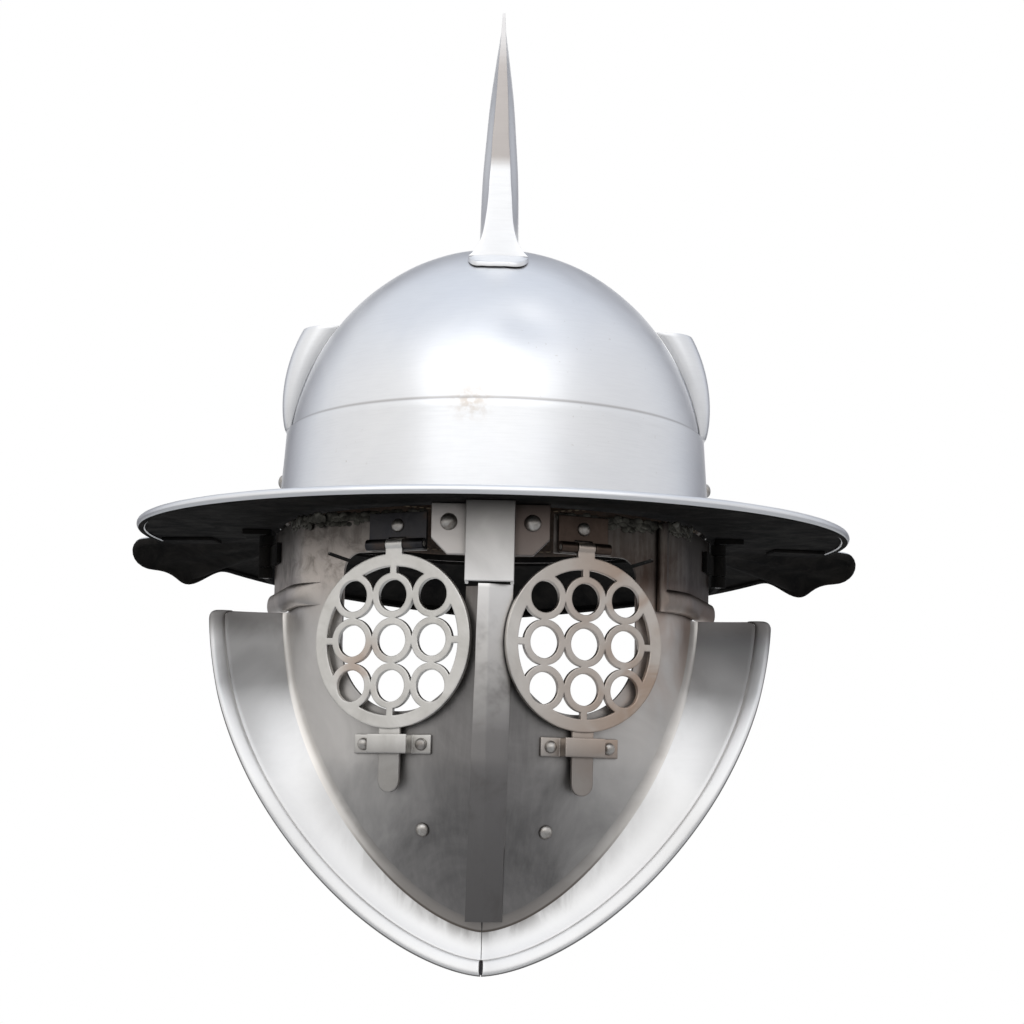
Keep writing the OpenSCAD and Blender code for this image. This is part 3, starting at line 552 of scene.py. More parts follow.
class Finish:
    """A material's node tree, built step by step on Object coordinates."""

    def __init__(self, name, metallic=1.0):
        self.material = bpy.data.materials.new(name)
        self.material.use_nodes = True
        self.tree = self.material.node_tree
        self.tree.nodes.clear()
        self.shader = self.add("ShaderNodeBsdfPrincipled", {"Metallic": metallic})
        self.add("ShaderNodeOutputMaterial", {"Surface": self.shader.outputs["BSDF"]})
        self.place = self.add("ShaderNodeTexCoord").outputs["Object"]

    def add(self, kind, inputs=None, **settings):
        return add_node(self.tree, kind, inputs, **settings)

    def stretched(self, scale):
        return self.add("ShaderNodeMapping", {"Vector": self.place, "Scale": scale}).outputs["Vector"]

    def cloud(self, scale, detail=3.0, rough=0.55, twist=0.0, place=None):
        inputs = {"Vector": place or self.place, "Scale": scale, "Detail": detail}
        inputs |= {"Roughness": rough, "Distortion": twist}
        return self.add("ShaderNodeTexNoise", inputs).outputs["Fac"]

    def ramp(self, value, stops):
        node = self.add("ShaderNodeValToRGB", {"Fac": value})
        set_stops(node.color_ramp, stops)
        return node.outputs["Color"]

    def mixed(self, factor, first, second, blend="MIX"):
        """Mix of two colours, each an output or a plain red, green and blue."""
        values = [(*value, 1) if isinstance(value, tuple) else value for value in (factor, first, second)]
        node = self.add("ShaderNodeMix", dict(zip((0, 6, 7), values)), data_type="RGBA", blend_type=blend)
        return node.outputs[2]

    def reckon(self, operation, first, second=0.0):
        return self.add("ShaderNodeMath", {0: first, 1: second}, operation=operation).outputs["Value"]

    def sum(self, first, second):
        return self.reckon("ADD", first, second)

    def times(self, first, second):
        return self.reckon("MULTIPLY", first, second)

    def spread(self, value, low, high, to_low=0.0, to_high=1.0):
        """Moves a value from one range to another, with soft ends."""
        inputs = {"Value": value, "From Min": low, "From Max": high, "To Min": to_low, "To Max": to_high}
        return self.add("ShaderNodeMapRange", inputs, interpolation_type="SMOOTHSTEP").outputs["Result"]

    def axis(self, name):
        return self.add("ShaderNodeSeparateXYZ", {"Vector": self.place}).outputs[name]

    def own(self, name):
        return self.add("ShaderNodeAttribute", attribute_name=name).outputs["Fac"]

    def near(self, spot, inner, outer):
        """1 within an inner distance of a place, falling to 0 at an outer one."""
        node = self.add("ShaderNodeVectorMath", {0: self.place, 1: spot}, operation="DISTANCE")
        return self.spread(node.outputs["Value"], inner, outer, 1.0, 0.0)

    def shade_and_grime(self, reach, amount):
        """How much painted shade and soiling gather, read from ambient occlusion: none in the open, most
        where pieces meet.
        """
        node = self.add("ShaderNodeAmbientOcclusion", {"Distance": reach}, samples=8)
        return self.spread(node.outputs["AO"], 0.2, 0.85, amount, 0.0)

    def finish(self, colour, rough, height, depth=0.0002, strength=0.5, soft=0.0):
        """Links colour, roughness and a fine relief, softens edges where asked, and gives the material."""
        inputs = {"Strength": strength, "Distance": depth, "Height": height}
        if soft:
            inputs["Normal"] = self.add("ShaderNodeBevel", {"Radius": soft}, samples=6).outputs["Normal"]
        relief = self.add("ShaderNodeBump", inputs).outputs["Normal"]
        for key, value in (("Base Color", colour), ("Roughness", rough), ("Normal", relief)):
            self.tree.links.new(value, self.shader.inputs[key])
        return self.material


def polished_steel():
    """Bright satin sheet with faint polishing lines, freckles and a brown weld stain on the band's edge."""
    f = Finish("polished_steel")
    smudge = f.cloud(12, 4, 0.6, 0.8)
    lines = f.cloud(1, 3, 0.6, 0, f.stretched((90, 90, 1500)))
    freckle = f.cloud(420, 2, 0.5)
    base = f.ramp(smudge, [(0.3, (0.79, 0.80, 0.82)), (0.6, (0.86, 0.865, 0.875))])
    worn = f.mixed(f.spread(lines, 0.35, 0.75, 0.0, 0.10), base, (0.62, 0.62, 0.63))
    spots = f.times(f.spread(freckle, 0.70, 0.76), f.spread(smudge, 0.5, 0.62))
    freckled = f.mixed(f.times(spots, 0.35), worn, (0.42, 0.36, 0.30))
    tarnish = f.times(f.spread(f.axis("Z"), 0.164, 0.172), f.spread(f.axis("Z"), 0.212, 0.232, 1.0, 0.45))
    front = f.spread(f.axis("Y"), -0.0607, -0.0598, 0.9, 0.0)
    crest = f.mixed(f.times(tarnish, front), freckled, (0.42, 0.385, 0.365))
    patchy = f.spread(f.cloud(300, 3, 0.6, 0.3), 0.3, 0.7)
    weld = f.times(f.near((-0.010, -0.119, 0.0455), 0.0, 0.014), patchy)
    stained = f.mixed(f.times(weld, 0.55), crest, (0.46, 0.36, 0.26))
    step = f.reckon("ABSOLUTE", f.reckon("SUBTRACT", f.axis("Z"), BAND_TOP * MM + 0.0004))
    joint = f.mixed(f.spread(step, 0.0003, 0.0014, 0.5, 0.0), stained, (0.27, 0.245, 0.23))
    # Painted shade and soiling where pieces meet
    colour = f.mixed(f.shade_and_grime(0.003, 0.6), joint, (0.24, 0.205, 0.185))
    rough = f.sum(f.spread(smudge, 0.25, 0.75, 0.28, 0.38), f.spread(lines, 0.3, 0.8, 0.0, 0.05))
    height = f.sum(f.times(lines, 0.2), f.cloud(45, 3, 0.5))
    return f.finish(colour, rough, height, 0.0002, 0.2)


def flange_steel():
    """Pale satin sheet with painted shade at its upper end and more on the right, darker in streaks where it
    leaves the cheek at the chin, and painted shade on the border's outer face.
    """
    f = Finish("flange_steel", 0.75)
    smudge = f.cloud(20, 4, 0.62, 1.2)
    level = f.axis("Z")
    base = f.ramp(smudge, [(0.3, (0.76, 0.755, 0.75)), (0.65, (0.86, 0.855, 0.85))])
    # Painted shade at the upper end, under the brim, and more of it on the right
    top = f.spread(f.sum(level, f.times(smudge, 0.012)), -0.054, -0.040, 0.0, 0.85)
    tan = f.mixed(f.spread(level, -0.105, -0.055, 0.0, 0.12), base, (0.44, 0.405, 0.38))
    right_top_shade = f.times(f.spread(level, -0.080, -0.048, 0.0, 0.75), f.spread(f.axis("X"), -0.01, 0.01))
    shade_tone = f.mixed(top, f.mixed(right_top_shade, tan, (0.15, 0.155, 0.17)), (0.16, 0.15, 0.145))
    near_crease = f.spread(f.sum(f.own("across"), f.times(smudge, 0.25)), 0.10, 0.85, 1.0, 0.0)
    chin = f.times(near_crease, f.spread(level, -0.188, -0.13, 0.85, 0.10))
    streaks = f.spread(f.cloud(1, 4, 0.6, 0.4, f.stretched((150, 150, 35))), 0.35, 0.65, 0.4, 1.0)
    streaked = f.mixed(f.times(chin, streaks), shade_tone, (0.17, 0.158, 0.148))
    # Painted shade on the border's outer face
    edged = f.mixed(f.spread(f.own("across"), 1.1, SHADED_EDGE, 0.0, 0.85), streaked, (0.10, 0.088, 0.08))
    # Painted shade and soiling where pieces meet
    colour = f.mixed(f.shade_and_grime(0.004, 0.7), edged, (0.16, 0.14, 0.13))
    rough = f.spread(smudge, 0.25, 0.75, 0.40, 0.50)
    return f.finish(colour, rough, f.cloud(50, 3, 0.5), 0.0002, 0.2)


def bend_steel():
    """Bend at the cheek's edge: tan, with a painted highlight on the left, painted shade towards the chin as
    on the cheek, and a painted shade line in the crease at the chin.
    """
    f = Finish("bend_steel", 0.85)
    smudge = f.cloud(30, 4, 0.62, 1.0)
    level = f.axis("Z")
    base = f.ramp(smudge, [(0.3, (0.50, 0.47, 0.44)), (0.65, (0.66, 0.635, 0.605))])
    # Painted shade towards the chin
    low = f.mixed(f.spread(level, -0.178, -0.12, 0.8, 0.0), base, (0.22, 0.20, 0.185))
    across = f.sum(f.own("across"), f.times(smudge, 0.06))
    # Painted highlight along the bend on the left
    painted_highlight = f.times(f.spread(across, 0.45, 0.75), f.spread(level, -0.165, -0.13))
    left = f.times(painted_highlight, f.spread(f.axis("X"), -0.01, 0.01, 0.85, 0.25))
    bright = f.mixed(left, low, (0.92, 0.885, 0.84))
    # Painted shade line in the crease at the chin
    line = f.times(f.spread(across, 0.80, 0.93), f.spread(level, -0.17, -0.13, 0.9, 0.0))
    lined = f.mixed(line, bright, (0.10, 0.085, 0.075))
    # Next to the cheek, the cheek's painted light and shade
    cheek = f.mixed(f.spread(level, -0.17, -0.08), (0.19, 0.182, 0.178), (0.46, 0.445, 0.43))
    colour = f.mixed(f.spread(across, 0.05, 0.6, 1.0, 0.0), lined, cheek)
    rough = f.spread(smudge, 0.25, 0.75, 0.38, 0.48)
    return f.finish(colour, rough, f.cloud(70, 3, 0.55), 0.0002, 0.25)


def painted_shade_black():
    """Matt black that paints the shade on faces turned down or into the bowl."""
    f = Finish("painted_shade_black", 0.0)
    f.shader.inputs["Specular IOR Level"].default_value = 0.08
    scale = f.cloud(70, 5, 0.7, 0.6)
    colour = f.ramp(scale, [(0.35, (0.006, 0.006, 0.006)), (0.7, (0.018, 0.016, 0.014))])
    return f.finish(colour, f.spread(scale, 0.3, 0.7, 0.95, 0.75), f.cloud(300, 4, 0.6), 0.0003, 0.5)


def cheek_steel():
    """Satin sheet with painted light towards the temples, painted shade towards the nose and chin and under
    the brim, dark brown at the top of the right cheek, and brown heat tints.
    """
    f = Finish("cheek_steel")
    smudge = f.cloud(18, 5, 0.62, 1.0)
    fine = f.cloud(1, 3, 0.6, 0, f.stretched((420, 420, 60)))
    level = f.axis("Z")
    # Painted light and shade: brighter towards the temples, darker towards the nose and chin
    bright = f.ramp(smudge, [(0.3, (0.46, 0.445, 0.43)), (0.65, (0.62, 0.60, 0.58))])
    shade_tone = f.ramp(smudge, [(0.3, (0.145, 0.14, 0.137)), (0.65, (0.25, 0.24, 0.235))])
    across = f.reckon("ABSOLUTE", f.axis("X"))
    outward = f.spread(f.sum(across, f.times(smudge, 0.03)), 0.027, 0.082)
    clear = f.times(outward, f.spread(level, -0.17, -0.10, 0.7, 1.0))
    sheet = f.mixed(clear, shade_tone, bright)
    right = f.times(f.spread(f.axis("X"), 0.03, 0.075), f.spread(level, -0.115, -0.045))
    heat = f.times(right, f.spread(f.cloud(26, 3, 0.5, 0.6), 0.30, 0.60))
    tinted = f.mixed(f.times(heat, 0.75), sheet, (0.36, 0.245, 0.185))
    # Dark brown at the top of the right cheek
    right_top_dark = f.times(f.spread(f.axis("X"), 0.030, 0.055), f.spread(level, -0.052, -0.028))
    dark = f.mixed(f.times(right_top_dark, 0.94), tinted, (0.028, 0.016, 0.012))
    # Painted shade under the brim
    under_brim_shade = f.spread(f.sum(level, f.times(smudge, 0.014)), -0.028, -0.002, 0.0, 0.75)
    warm = f.mixed(f.spread(level, -0.060, -0.030, 0.0, 0.55), dark, (0.92, 0.80, 0.72), "MULTIPLY")
    mottle = f.spread(f.cloud(110, 5, 0.68, 0.6), 0.42, 0.66, 0.0, 0.65)
    grimy = f.mixed(f.times(mottle, f.spread(level, -0.05, -0.02)), warm, (0.105, 0.09, 0.075))
    under = f.mixed(under_brim_shade, grimy, (0.075, 0.065, 0.058))
    brushed = f.mixed(f.spread(fine, 0.35, 0.75, 0.0, 0.08), under, (0.60, 0.58, 0.55))
    # Painted shade and soiling where pieces meet
    colour = f.mixed(f.shade_and_grime(0.0045, 0.75), brushed, (0.035, 0.030, 0.027))
    rough = f.sum(f.spread(smudge, 0.25, 0.75, 0.36, 0.48), f.spread(fine, 0.3, 0.8, 0.0, 0.05))
    return f.finish(colour, rough, f.sum(f.times(fine, 0.3), f.cloud(70, 3, 0.55)), 0.0002, 0.25)


def nose_steel():
    """Satin bracket and strip: painted shadow of the brim at the top, bright below it, painted shade down to
    the chin, and painted shade on the bracket's right wall.
    """
    f = Finish("nose_steel")
    smudge = f.cloud(26, 4, 0.6, 0.8)
    level = f.sum(f.axis("Z"), f.times(smudge, 0.02))
    # Painted light and shade by height: the brim's shadow at the top, bright below it, darker down to the
    # chin
    base = f.ramp(
        f.spread(level, -0.18, 0.01),
        [(0.02, (0.17, 0.162, 0.158)), (0.45, (0.25, 0.24, 0.235)), (0.72, (0.60, 0.58, 0.56)),
         (0.9, (0.82, 0.805, 0.79)), (0.955, (0.56, 0.545, 0.53)), (1.0, (0.24, 0.23, 0.22))],
    )
    # Painted shade on the bracket's right wall, tinted brown
    wall = f.times(f.spread(f.axis("X"), 0.0101, 0.0107), f.spread(f.axis("Z"), -0.0372, -0.0366))
    tab = f.mixed(f.spread(f.axis("X"), -0.0115, -0.0105, 0.75, 0.0), base, (0.66, 0.62, 0.59))
    tinted = f.mixed(f.times(wall, 0.8), tab, (0.12, 0.085, 0.07))
    stain = f.spread(f.cloud(40, 4, 0.65, 0.3), 0.48, 0.72, 0.0, 0.5)
    low = f.spread(level, -0.05, -0.03, 1.0, 0.0)
    stained = f.mixed(f.times(stain, low), tinted, (0.13, 0.12, 0.112))
    # Painted shade and soiling where pieces meet
    colour = f.mixed(f.shade_and_grime(0.005, 0.75), stained, (0.035, 0.03, 0.026))
    rough = f.spread(smudge, 0.25, 0.75, 0.36, 0.46)
    return f.finish(colour, rough, f.cloud(80, 3, 0.55), 0.0002, 0.25)


def grille_steel():
    """Nickel-grey castings with soft edges, brown patches and a darker tongue."""
    f = Finish("grille_steel")
    smudge = f.cloud(60, 4, 0.6, 0.4)
    fine = f.cloud(900, 2, 0.5)
    nickel = f.ramp(smudge, [(0.3, (0.60, 0.585, 0.55)), (0.65, (0.79, 0.77, 0.735))])
    base = f.mixed(f.spread(f.axis("X"), -0.005, 0.03, 0.0, 0.55), nickel, (0.47, 0.395, 0.34))
    patch = f.cloud(34, 3, 0.5, 1.2)
    right = f.times(f.spread(f.axis("X"), 0.02, 0.065), f.spread(patch, 0.38, 0.60))
    tinted = f.mixed(f.times(right, 0.7), base, (0.38, 0.255, 0.18))
    left = f.times(f.near((-0.052, -0.112, -0.072), 0.004, 0.018), f.spread(patch, 0.40, 0.55))
    spotted = f.mixed(f.times(left, 0.6), tinted, (0.42, 0.27, 0.18))
    tongue = f.mixed(f.spread(f.axis("Z"), -0.112, -0.100, 0.6, 0.0), spotted, (0.17, 0.16, 0.155))
    # Painted shade and soiling where pieces meet
    colour = f.mixed(f.shade_and_grime(0.003, 0.6), tongue, (0.06, 0.05, 0.045))
    rough = f.sum(f.spread(smudge, 0.3, 0.7, 0.30, 0.40), f.spread(fine, 0.3, 0.7, 0.0, 0.06))
    return f.finish(colour, rough, f.sum(f.times(fine, 0.5), f.cloud(130, 3, 0.6)), 0.00012, 0.3, 0.0009)


def mottled_steel(name, patches, stops, rough, grain, depth, strength, shade_and_dirt=None, soft=0.0, metallic=1.0):
    """Steel in patches of a few tones, with painted shade and soiling where pieces meet; without a grain the
    patches stand up.
    """
    f = Finish(name, metallic)
    smudge = f.cloud(*patches)
    colour = f.ramp(smudge, stops)
    if shade_and_dirt:
        reach, amount, tone = shade_and_dirt
        # Painted shade and soiling where pieces meet
        colour = f.mixed(f.shade_and_grime(reach, amount), colour, tone)
    height = f.cloud(grain, 3, 0.6) if grain else smudge
    return f.finish(colour, f.spread(smudge, *rough), height, depth, strength, soft)


def liner_leather():
    """Brown leather kept near black, which also paints the shade inside the bowl, with grain, worn shine and
    dark creases.
    """
    f = Finish("liner_leather", 0.0)
    grain = f.add("ShaderNodeTexVoronoi", {"Vector": f.place, "Scale": 700}, feature="F1")
    pores = grain.outputs["Distance"]
    smudge = f.cloud(28, 4, 0.6, 0.5)
    # Near-black tones: the leather's dark brown, darkened further to paint the shade inside the bowl
    base = f.ramp(smudge, [(0.3, (0.034, 0.019, 0.011)), (0.7, (0.085, 0.050, 0.028))])
    colour = f.mixed(f.spread(pores, 0.25, 0.6, 0.0, 0.5), base, (0.022, 0.013, 0.008))
    rough = f.spread(smudge, 0.3, 0.7, 0.42, 0.62)
    return f.finish(colour, rough, f.sum(f.times(pores, -1.0), f.cloud(90, 3, 0.6)), 0.0003, 0.5)


def waxed_thread():
    f = Finish("waxed_thread", 0.0)
    twist = f.cloud(1, 2, 0.5, 0, f.stretched((900, 900, 2600)))
    colour = f.ramp(twist, [(0.3, (0.12, 0.09, 0.055)), (0.7, (0.22, 0.175, 0.115))])
    return f.finish(colour, f.spread(twist, 0.3, 0.7, 0.5, 0.7), twist, 0.0002, 0.5)


POLISHED = polished_steel()
FLANGE = flange_steel()
BEND = bend_steel()
SHADE_BLACK = painted_shade_black()
CHEEK = cheek_steel()
NOSE = nose_steel()
GRILLE = grille_steel()
# Bare hinge plate tinted brown by heat, with painted shade and soiling where pieces meet
BROWNED = mottled_steel(
    "browned_steel",
    patches=(80, 4, 0.6, 0.7),
    stops=[(0.3, (0.050, 0.036, 0.029)), (0.55, (0.085, 0.061, 0.049)), (0.8, (0.17, 0.122, 0.098))],
    rough=(0.3, 0.75, 0.30, 0.46),
    grain=400, depth=0.0001, strength=0.4,
    shade_and_dirt=(0.004, 0.7, (0.03, 0.024, 0.02)),
    soft=0.0006,
)
# Dark plate blued by heat, brown in places
BLUED = mottled_steel(
    "blued_steel",
    patches=(70, 4, 0.6, 0.5),
    stops=[(0.3, (0.030, 0.030, 0.034)), (0.55, (0.060, 0.058, 0.060)), (0.8, (0.13, 0.085, 0.06))],
    rough=(0.3, 0.75, 0.30, 0.55),
    grain=500, depth=0.0001, strength=0.4,
)
# Hammered rivet heads with painted shade and soiling where they meet the sheet, and brown tints
FASTENER = mottled_steel(
    "fastener_steel",
    patches=(220, 4, 0.65, 0.6),
    stops=[(0.3, (0.24, 0.21, 0.185)), (0.5, (0.42, 0.40, 0.375)), (0.75, (0.60, 0.58, 0.55))],
    rough=(0.3, 0.75, 0.45, 0.28),
    grain=600, depth=0.00015, strength=0.5,
    shade_and_dirt=(0.003, 0.7, (0.05, 0.042, 0.036)),
)
# Olive-grey weld, dark in patches, with painted shade in its hollows
WELD = mottled_steel(
    "weld_steel",
    patches=(180, 4, 0.6, 0.4),
    stops=[(0.3, (0.022, 0.020, 0.016)), (0.5, (0.060, 0.057, 0.046)), (0.72, (0.13, 0.125, 0.105))],
    rough=(0.3, 0.7, 0.7, 0.5),
    grain=None, depth=0.0004, strength=0.5,
    shade_and_dirt=(0.003, 0.8, (0.02, 0.018, 0.016)),
    metallic=0.6,
)
LEATHER = liner_leather()
THREAD = waxed_thread()


# Geometry Nodes for what repeats


def scatter_tree(name, flat_seat):
    """Tree that stands a small head on every point of a mesh, along each point's own direction."""
    tree = bpy.data.node_groups.new(name, "GeometryNodeTree")

    def socket(label, kind, way="INPUT"):
        return tree.interface.new_socket(label, in_out=way, socket_type="NodeSocket" + kind).identifier

    def add(kind, inputs=None, **settings):
        return add_node(tree, kind, inputs, **settings)

    socket("Points", "Geometry")
    keys = {"Segments": socket("Segments", "Int"), "Wobble": socket("Wobble", "Float")}
    keys["Finish"] = socket("Finish", "Material")
    socket("Pieces", "Geometry", "OUTPUT")
    start = add("NodeGroupInput").outputs
    place = add("GeometryNodeInputPosition").outputs[0]
    rings = add("ShaderNodeMath", {0: start["Segments"], 1: 0.5}, operation="MULTIPLY").outputs[0]
    ball = {"Segments": start["Segments"], "Rings": rings, "Radius": 1.0}
    head = add("GeometryNodeMeshUVSphere", ball).outputs["Mesh"]
    if flat_seat:
        parts = add("ShaderNodeSeparateXYZ", {0: place}).outputs
        seat = add("ShaderNodeMath", {0: parts["Z"], 1: 0.0}, operation="MAXIMUM").outputs[0]
        whole = add("ShaderNodeCombineXYZ", {"X": parts["X"], "Y": parts["Y"], "Z": seat}).outputs[0]
        head = add("GeometryNodeSetPosition", {"Geometry": head, "Position": whole}).outputs["Geometry"]
    stand, size = (
        add("GeometryNodeInputNamedAttribute", {"Name": label}, data_type="FLOAT_VECTOR").outputs["Attribute"]
        for label in ("stand", "size")
    )
    turn = add("FunctionNodeAlignRotationToVector", {"Vector": stand}, axis="Z").outputs["Rotation"]
    heads = {"Points": start["Points"], "Instance": head, "Rotation": turn, "Scale": size}
    put = add("GeometryNodeInstanceOnPoints", heads).outputs["Instances"]
    real = add("GeometryNodeRealizeInstances", {"Geometry": put}).outputs["Geometry"]
    # Every head is a little uneven, from one fixed noise
    uneven = add("ShaderNodeTexNoise", {"Vector": place, "Scale": 260, "Detail": 2}).outputs["Color"]
    centred = add("ShaderNodeVectorMath", {0: uneven, 1: (0.5, 0.5, 0.5)}, operation="SUBTRACT").outputs[0]
    move = add("ShaderNodeVectorMath", {0: centred, "Scale": start["Wobble"]}, operation="SCALE").outputs[0]
    moved = add("GeometryNodeSetPosition", {"Geometry": real, "Offset": move}).outputs["Geometry"]
    even = add("GeometryNodeSetShadeSmooth", {"Geometry": moved}).outputs["Geometry"]
    paint = add("GeometryNodeSetMaterial", {"Geometry": even, "Material": start["Finish"]})
    add("NodeGroupOutput", {"Pieces": paint.outputs["Geometry"]})
    return tree, keys


def scatter(name, tree_and_keys, spots, material, segments, wobble):
    """One mesh with a head at each spot: place, direction and size in millimetres."""
    tree, keys = tree_and_keys
    mesh = bpy.data.meshes.new(name)
    mesh.from_pydata([Vector(s[0]) * MM for s in spots], [], [])
    stand = mesh.attributes.new("stand", "FLOAT_VECTOR", "POINT")
    size = mesh.attributes.new("size", "FLOAT_VECTOR", "POINT")
    stand.data.foreach_set("vector", [c for s in spots for c in Vector(s[1]).normalized()])
    size.data.foreach_set("vector", [c * MM for s in spots for c in s[2]])
    obj = placed(name, mesh)
    nodes = obj.modifiers.new("heads", "NODES")
    nodes.node_group = tree
    nodes[keys["Segments"]] = segments
    nodes[keys["Wobble"]] = wobble * MM
    nodes[keys["Finish"]] = material
    return applied(obj)


RIVET_TREE = scatter_tree("rivet_heads", flat_seat=True)
BALL_TREE = scatter_tree("small_lumps", flat_seat=False)


# The bowl

AROUND = 200
ANGLES = [2 * math.pi * j / AROUND for j in range(AROUND)]
# Shallow dents of the dome: place, width and depth
DENTS = [
    ((14, -99, 86), 13, 2.2),
    ((-42, -78, 96), 15, 0.8),
    ((46, -60, 112), 20, 0.7),
    ((-20, 92, 92), 22, 0.8),
]


def hammered(p):
    """A dome point moved along its normal by soft waves and dents, which end above the band."""
    flat_above_band, fade_height = 2, 16
    normal = np.array((
        p[0] / BOWL_HALF_WIDTH**2,
        p[1] / BOWL_HALF_LENGTH**2,
        (p[2] - DOME_LEVEL) / DOME_RISE**2,
    ))
    normal /= np.linalg.norm(normal)
    fade = share((p[2] - BAND_TOP - flat_above_band) / fade_height)
    move = 0.28 * ripple(p, size=42, seed=3.1) + 0.10 * ripple(p, size=15, seed=7.7)
    for middle, width, depth in DENTS:
        move -= depth * math.exp(-np.sum((p - np.array(middle)) ** 2) / width**2)
    return p + normal * move * fade


def blacken_inside(obj):
    """Gives the faces that look into the bowl the matt black that paints their shade."""
    inward = -0.02
    obj.data.materials.append(SHADE_BLACK)
    middle = Vector((0, 0, DOME_LEVEL * MM))
    for face in obj.data.polygons:
        face.material_index = int(face.normal.dot(face.center - middle) < inward)


def bowl_dome():
    rise = 60
    levels = [DOME_FROM + (DOME_TOP - DOME_FROM) * math.sin(math.pi / 2 * i / rise) for i in range(rise)]
    shrink = 1 - SHEET / DOME_RISE
    outer = [[hammered(dome_point(a, z)) for a in ANGLES] for z in levels]
    inner = [
        [hammered(dome_point(a, min(z, DOME_LEVEL + (z - DOME_LEVEL) * shrink), SHEET)) for a in ANGLES]
        for z in levels
    ]
    dome = cap_piece("bowl_dome", outer, (0, 0, DOME_TOP), inner, (0, 0, DOME_TOP - SHEET))
    settle(shaded(dome), "helmet", "polished", POLISHED, "dome_cap")
    blacken_inside(dome)


def bowl_band():
    steps, fade_height = 12, 12
    levels = [SEAT_GAP + (BAND_TOP - SEAT_GAP) * i / steps for i in range(steps + 1)]

    def wall(a, z, off):
        p = hoop_point(a, band_inner(z) + off, z)
        wave = 0.22 * ripple(p, size=38, seed=5.5) * share(off) * share((BAND_TOP - z) / fade_height)
        return p + wave * np.array((math.sin(a), -math.cos(a), 0))

    outer, inner = ([[wall(a, z, off) for a in ANGLES] for z in levels] for off in (SHEET, 0.0))
    band = sheet_piece("bowl_band_sheet", outer, inner, wrap=True)
    settle(shaded(eased(band, 0.45)), "helmet", "polished", POLISHED, "bowl_band")
    blacken_inside(band)


# The brim and the neck guard


def blacken_underside(obj, low_normal):
    """Gives the faces that look down or inward the matt black that paints their shade."""
    inward = -0.7
    obj.data.materials.append(SHADE_BLACK)
    for face in obj.data.polygons:
        way = face.normal.xy.dot(face.center.xy.normalized())
        face.material_index = int(way < inward or face.normal.z < low_normal)


def brim_sheet():
    steps, flats, bends = 240, 6, 18
    roll_start, roll_gap = 155, 1.2

    def ring(a):
        way = np.array((math.sin(a), -math.cos(a), 0))
        inner = polar_reach(a, BRIM_INNER, BRIM_INNER + BOWL_STRETCH)
        outer = polar_reach(a, BRIM_HALF_WIDTH - RIM_D / 2, BRIM_REACH - RIM_D / 2)
        width = outer - RIM_D / 2 - roll_gap - inner
        swell = RIM_D / 2 * (1 + 0.03 * ripple(outer * way, size=9, seed=4.4))

        def flat(k, drop):
            p = (inner + width * k / flats) * way
            wave = 0.25 * ripple(p, size=60, seed=2.2) * share(k / 3)
            return p + np.array((0, 0, wave - drop))

        def roll(k):
            b = math.radians(roll_start - 2 * roll_start * k / bends)
            rise = np.array((0, 0, swell * math.sin(b) - SHEET / 2))
            return (outer + swell * math.cos(b)) * way + rise

        top = [flat(k, 0.0) for k in range(flats + 1)]
        low = [flat(k, SHEET) for k in range(flats, -1, -1)]
        return top + [roll(k) for k in range(bends + 1)] + low

    rings = [ring(BRIM_END * (2 * i / steps - 1)) for i in range(steps + 1)]
    brim = shaded(swept_piece("brim_sheet", rings), 50)
    settle(brim, "helmet", "polished", POLISHED, "front_brim", "front_rim")
    blacken_underside(brim, -0.8)


def guard_sheet():
    steps, flats, bends = 300, 12, 14
    first, flat_share, roll_start = math.radians(100.3), 0.94, 150

    def ring(a):
        way = np.array((math.sin(a), -math.cos(a), 0))
        edge = guard_point(a, 1.0, -SHEET / 2, GUARD_ROLL)

        def roll(k):
            b = math.radians(roll_start - 2 * roll_start * k / bends)
            return edge + GUARD_ROLL * (math.cos(b) * way + np.array((0, 0, math.sin(b))))

        top = [guard_point(a, s) for s in np.linspace(0, flat_share, flats)]
        low = [guard_point(a, s, -SHEET) for s in np.linspace(flat_share, 0, flats)]
        return top + [roll(k) for k in range(bends + 1)] + low

    rings = [ring(first + (2 * math.pi - 2 * first) * i / steps) for i in range(steps + 1)]
    guard = shaded(swept_piece("guard_sheet", rings), 50)
    settle(guard, "helmet", "polished", POLISHED, "neck_guard")
    blacken_underside(guard, 0.4)


# The crest and the plume holders


def strip_half(f):
    """Half width of the crest's front strip at a share of its height, with a foot that spreads."""
    tip, taper, foot, foot_fall = 0.55, 6.45, 7, 19
    return tip + taper * (1 - f) + foot * math.exp(-f * foot_fall)


def crest_sheets():
    rise, steps = 26, 70
    short_of_end, least_height, rear_half, thinnest = 2, 2, 1.3, 0.15
    rear_taper, rear_soft, front_taper, still_front, behind_strip = 34, 32, 16, 6, 0.35
    length = CREST_REAR - short_of_end + CREST_FRONT

    def skin(k, i, off):
        y = length * (1 - math.cos(math.pi / 2 * i / steps)) - CREST_FRONT
        f = k / rise
        low = crest_base(y)
        high = max(crest_edge(y), low + least_height)
        rear = share((y - CREST_REAR + rear_taper) / rear_soft)
        full = (crest_half(f) - 0.5 * f) * (1 - rear) + rear_half * rear
        front = min(full, strip_half(f) - behind_strip)
        x = front + (full - front) * share((y + CREST_FRONT) / front_taper)
        p = np.array((x, y, low + (high - low) * f))
        wave = 0.35 * ripple(p, size=26, seed=9.3)
        p[0] += wave * math.sin(math.pi * f) * share((y + CREST_FRONT) / still_front)
        p[0] -= min(off, p[0] - thinnest)
        return p

    for side, word in SIDES.items():
        wall = skin_sheet("crest_sheet_" + word, skin, rise, steps, 0.0, CREST_SHEET, side)
        settle(shaded(eased(wall, 0.3)), "helmet", "polished", POLISHED, "crest_side_" + word)


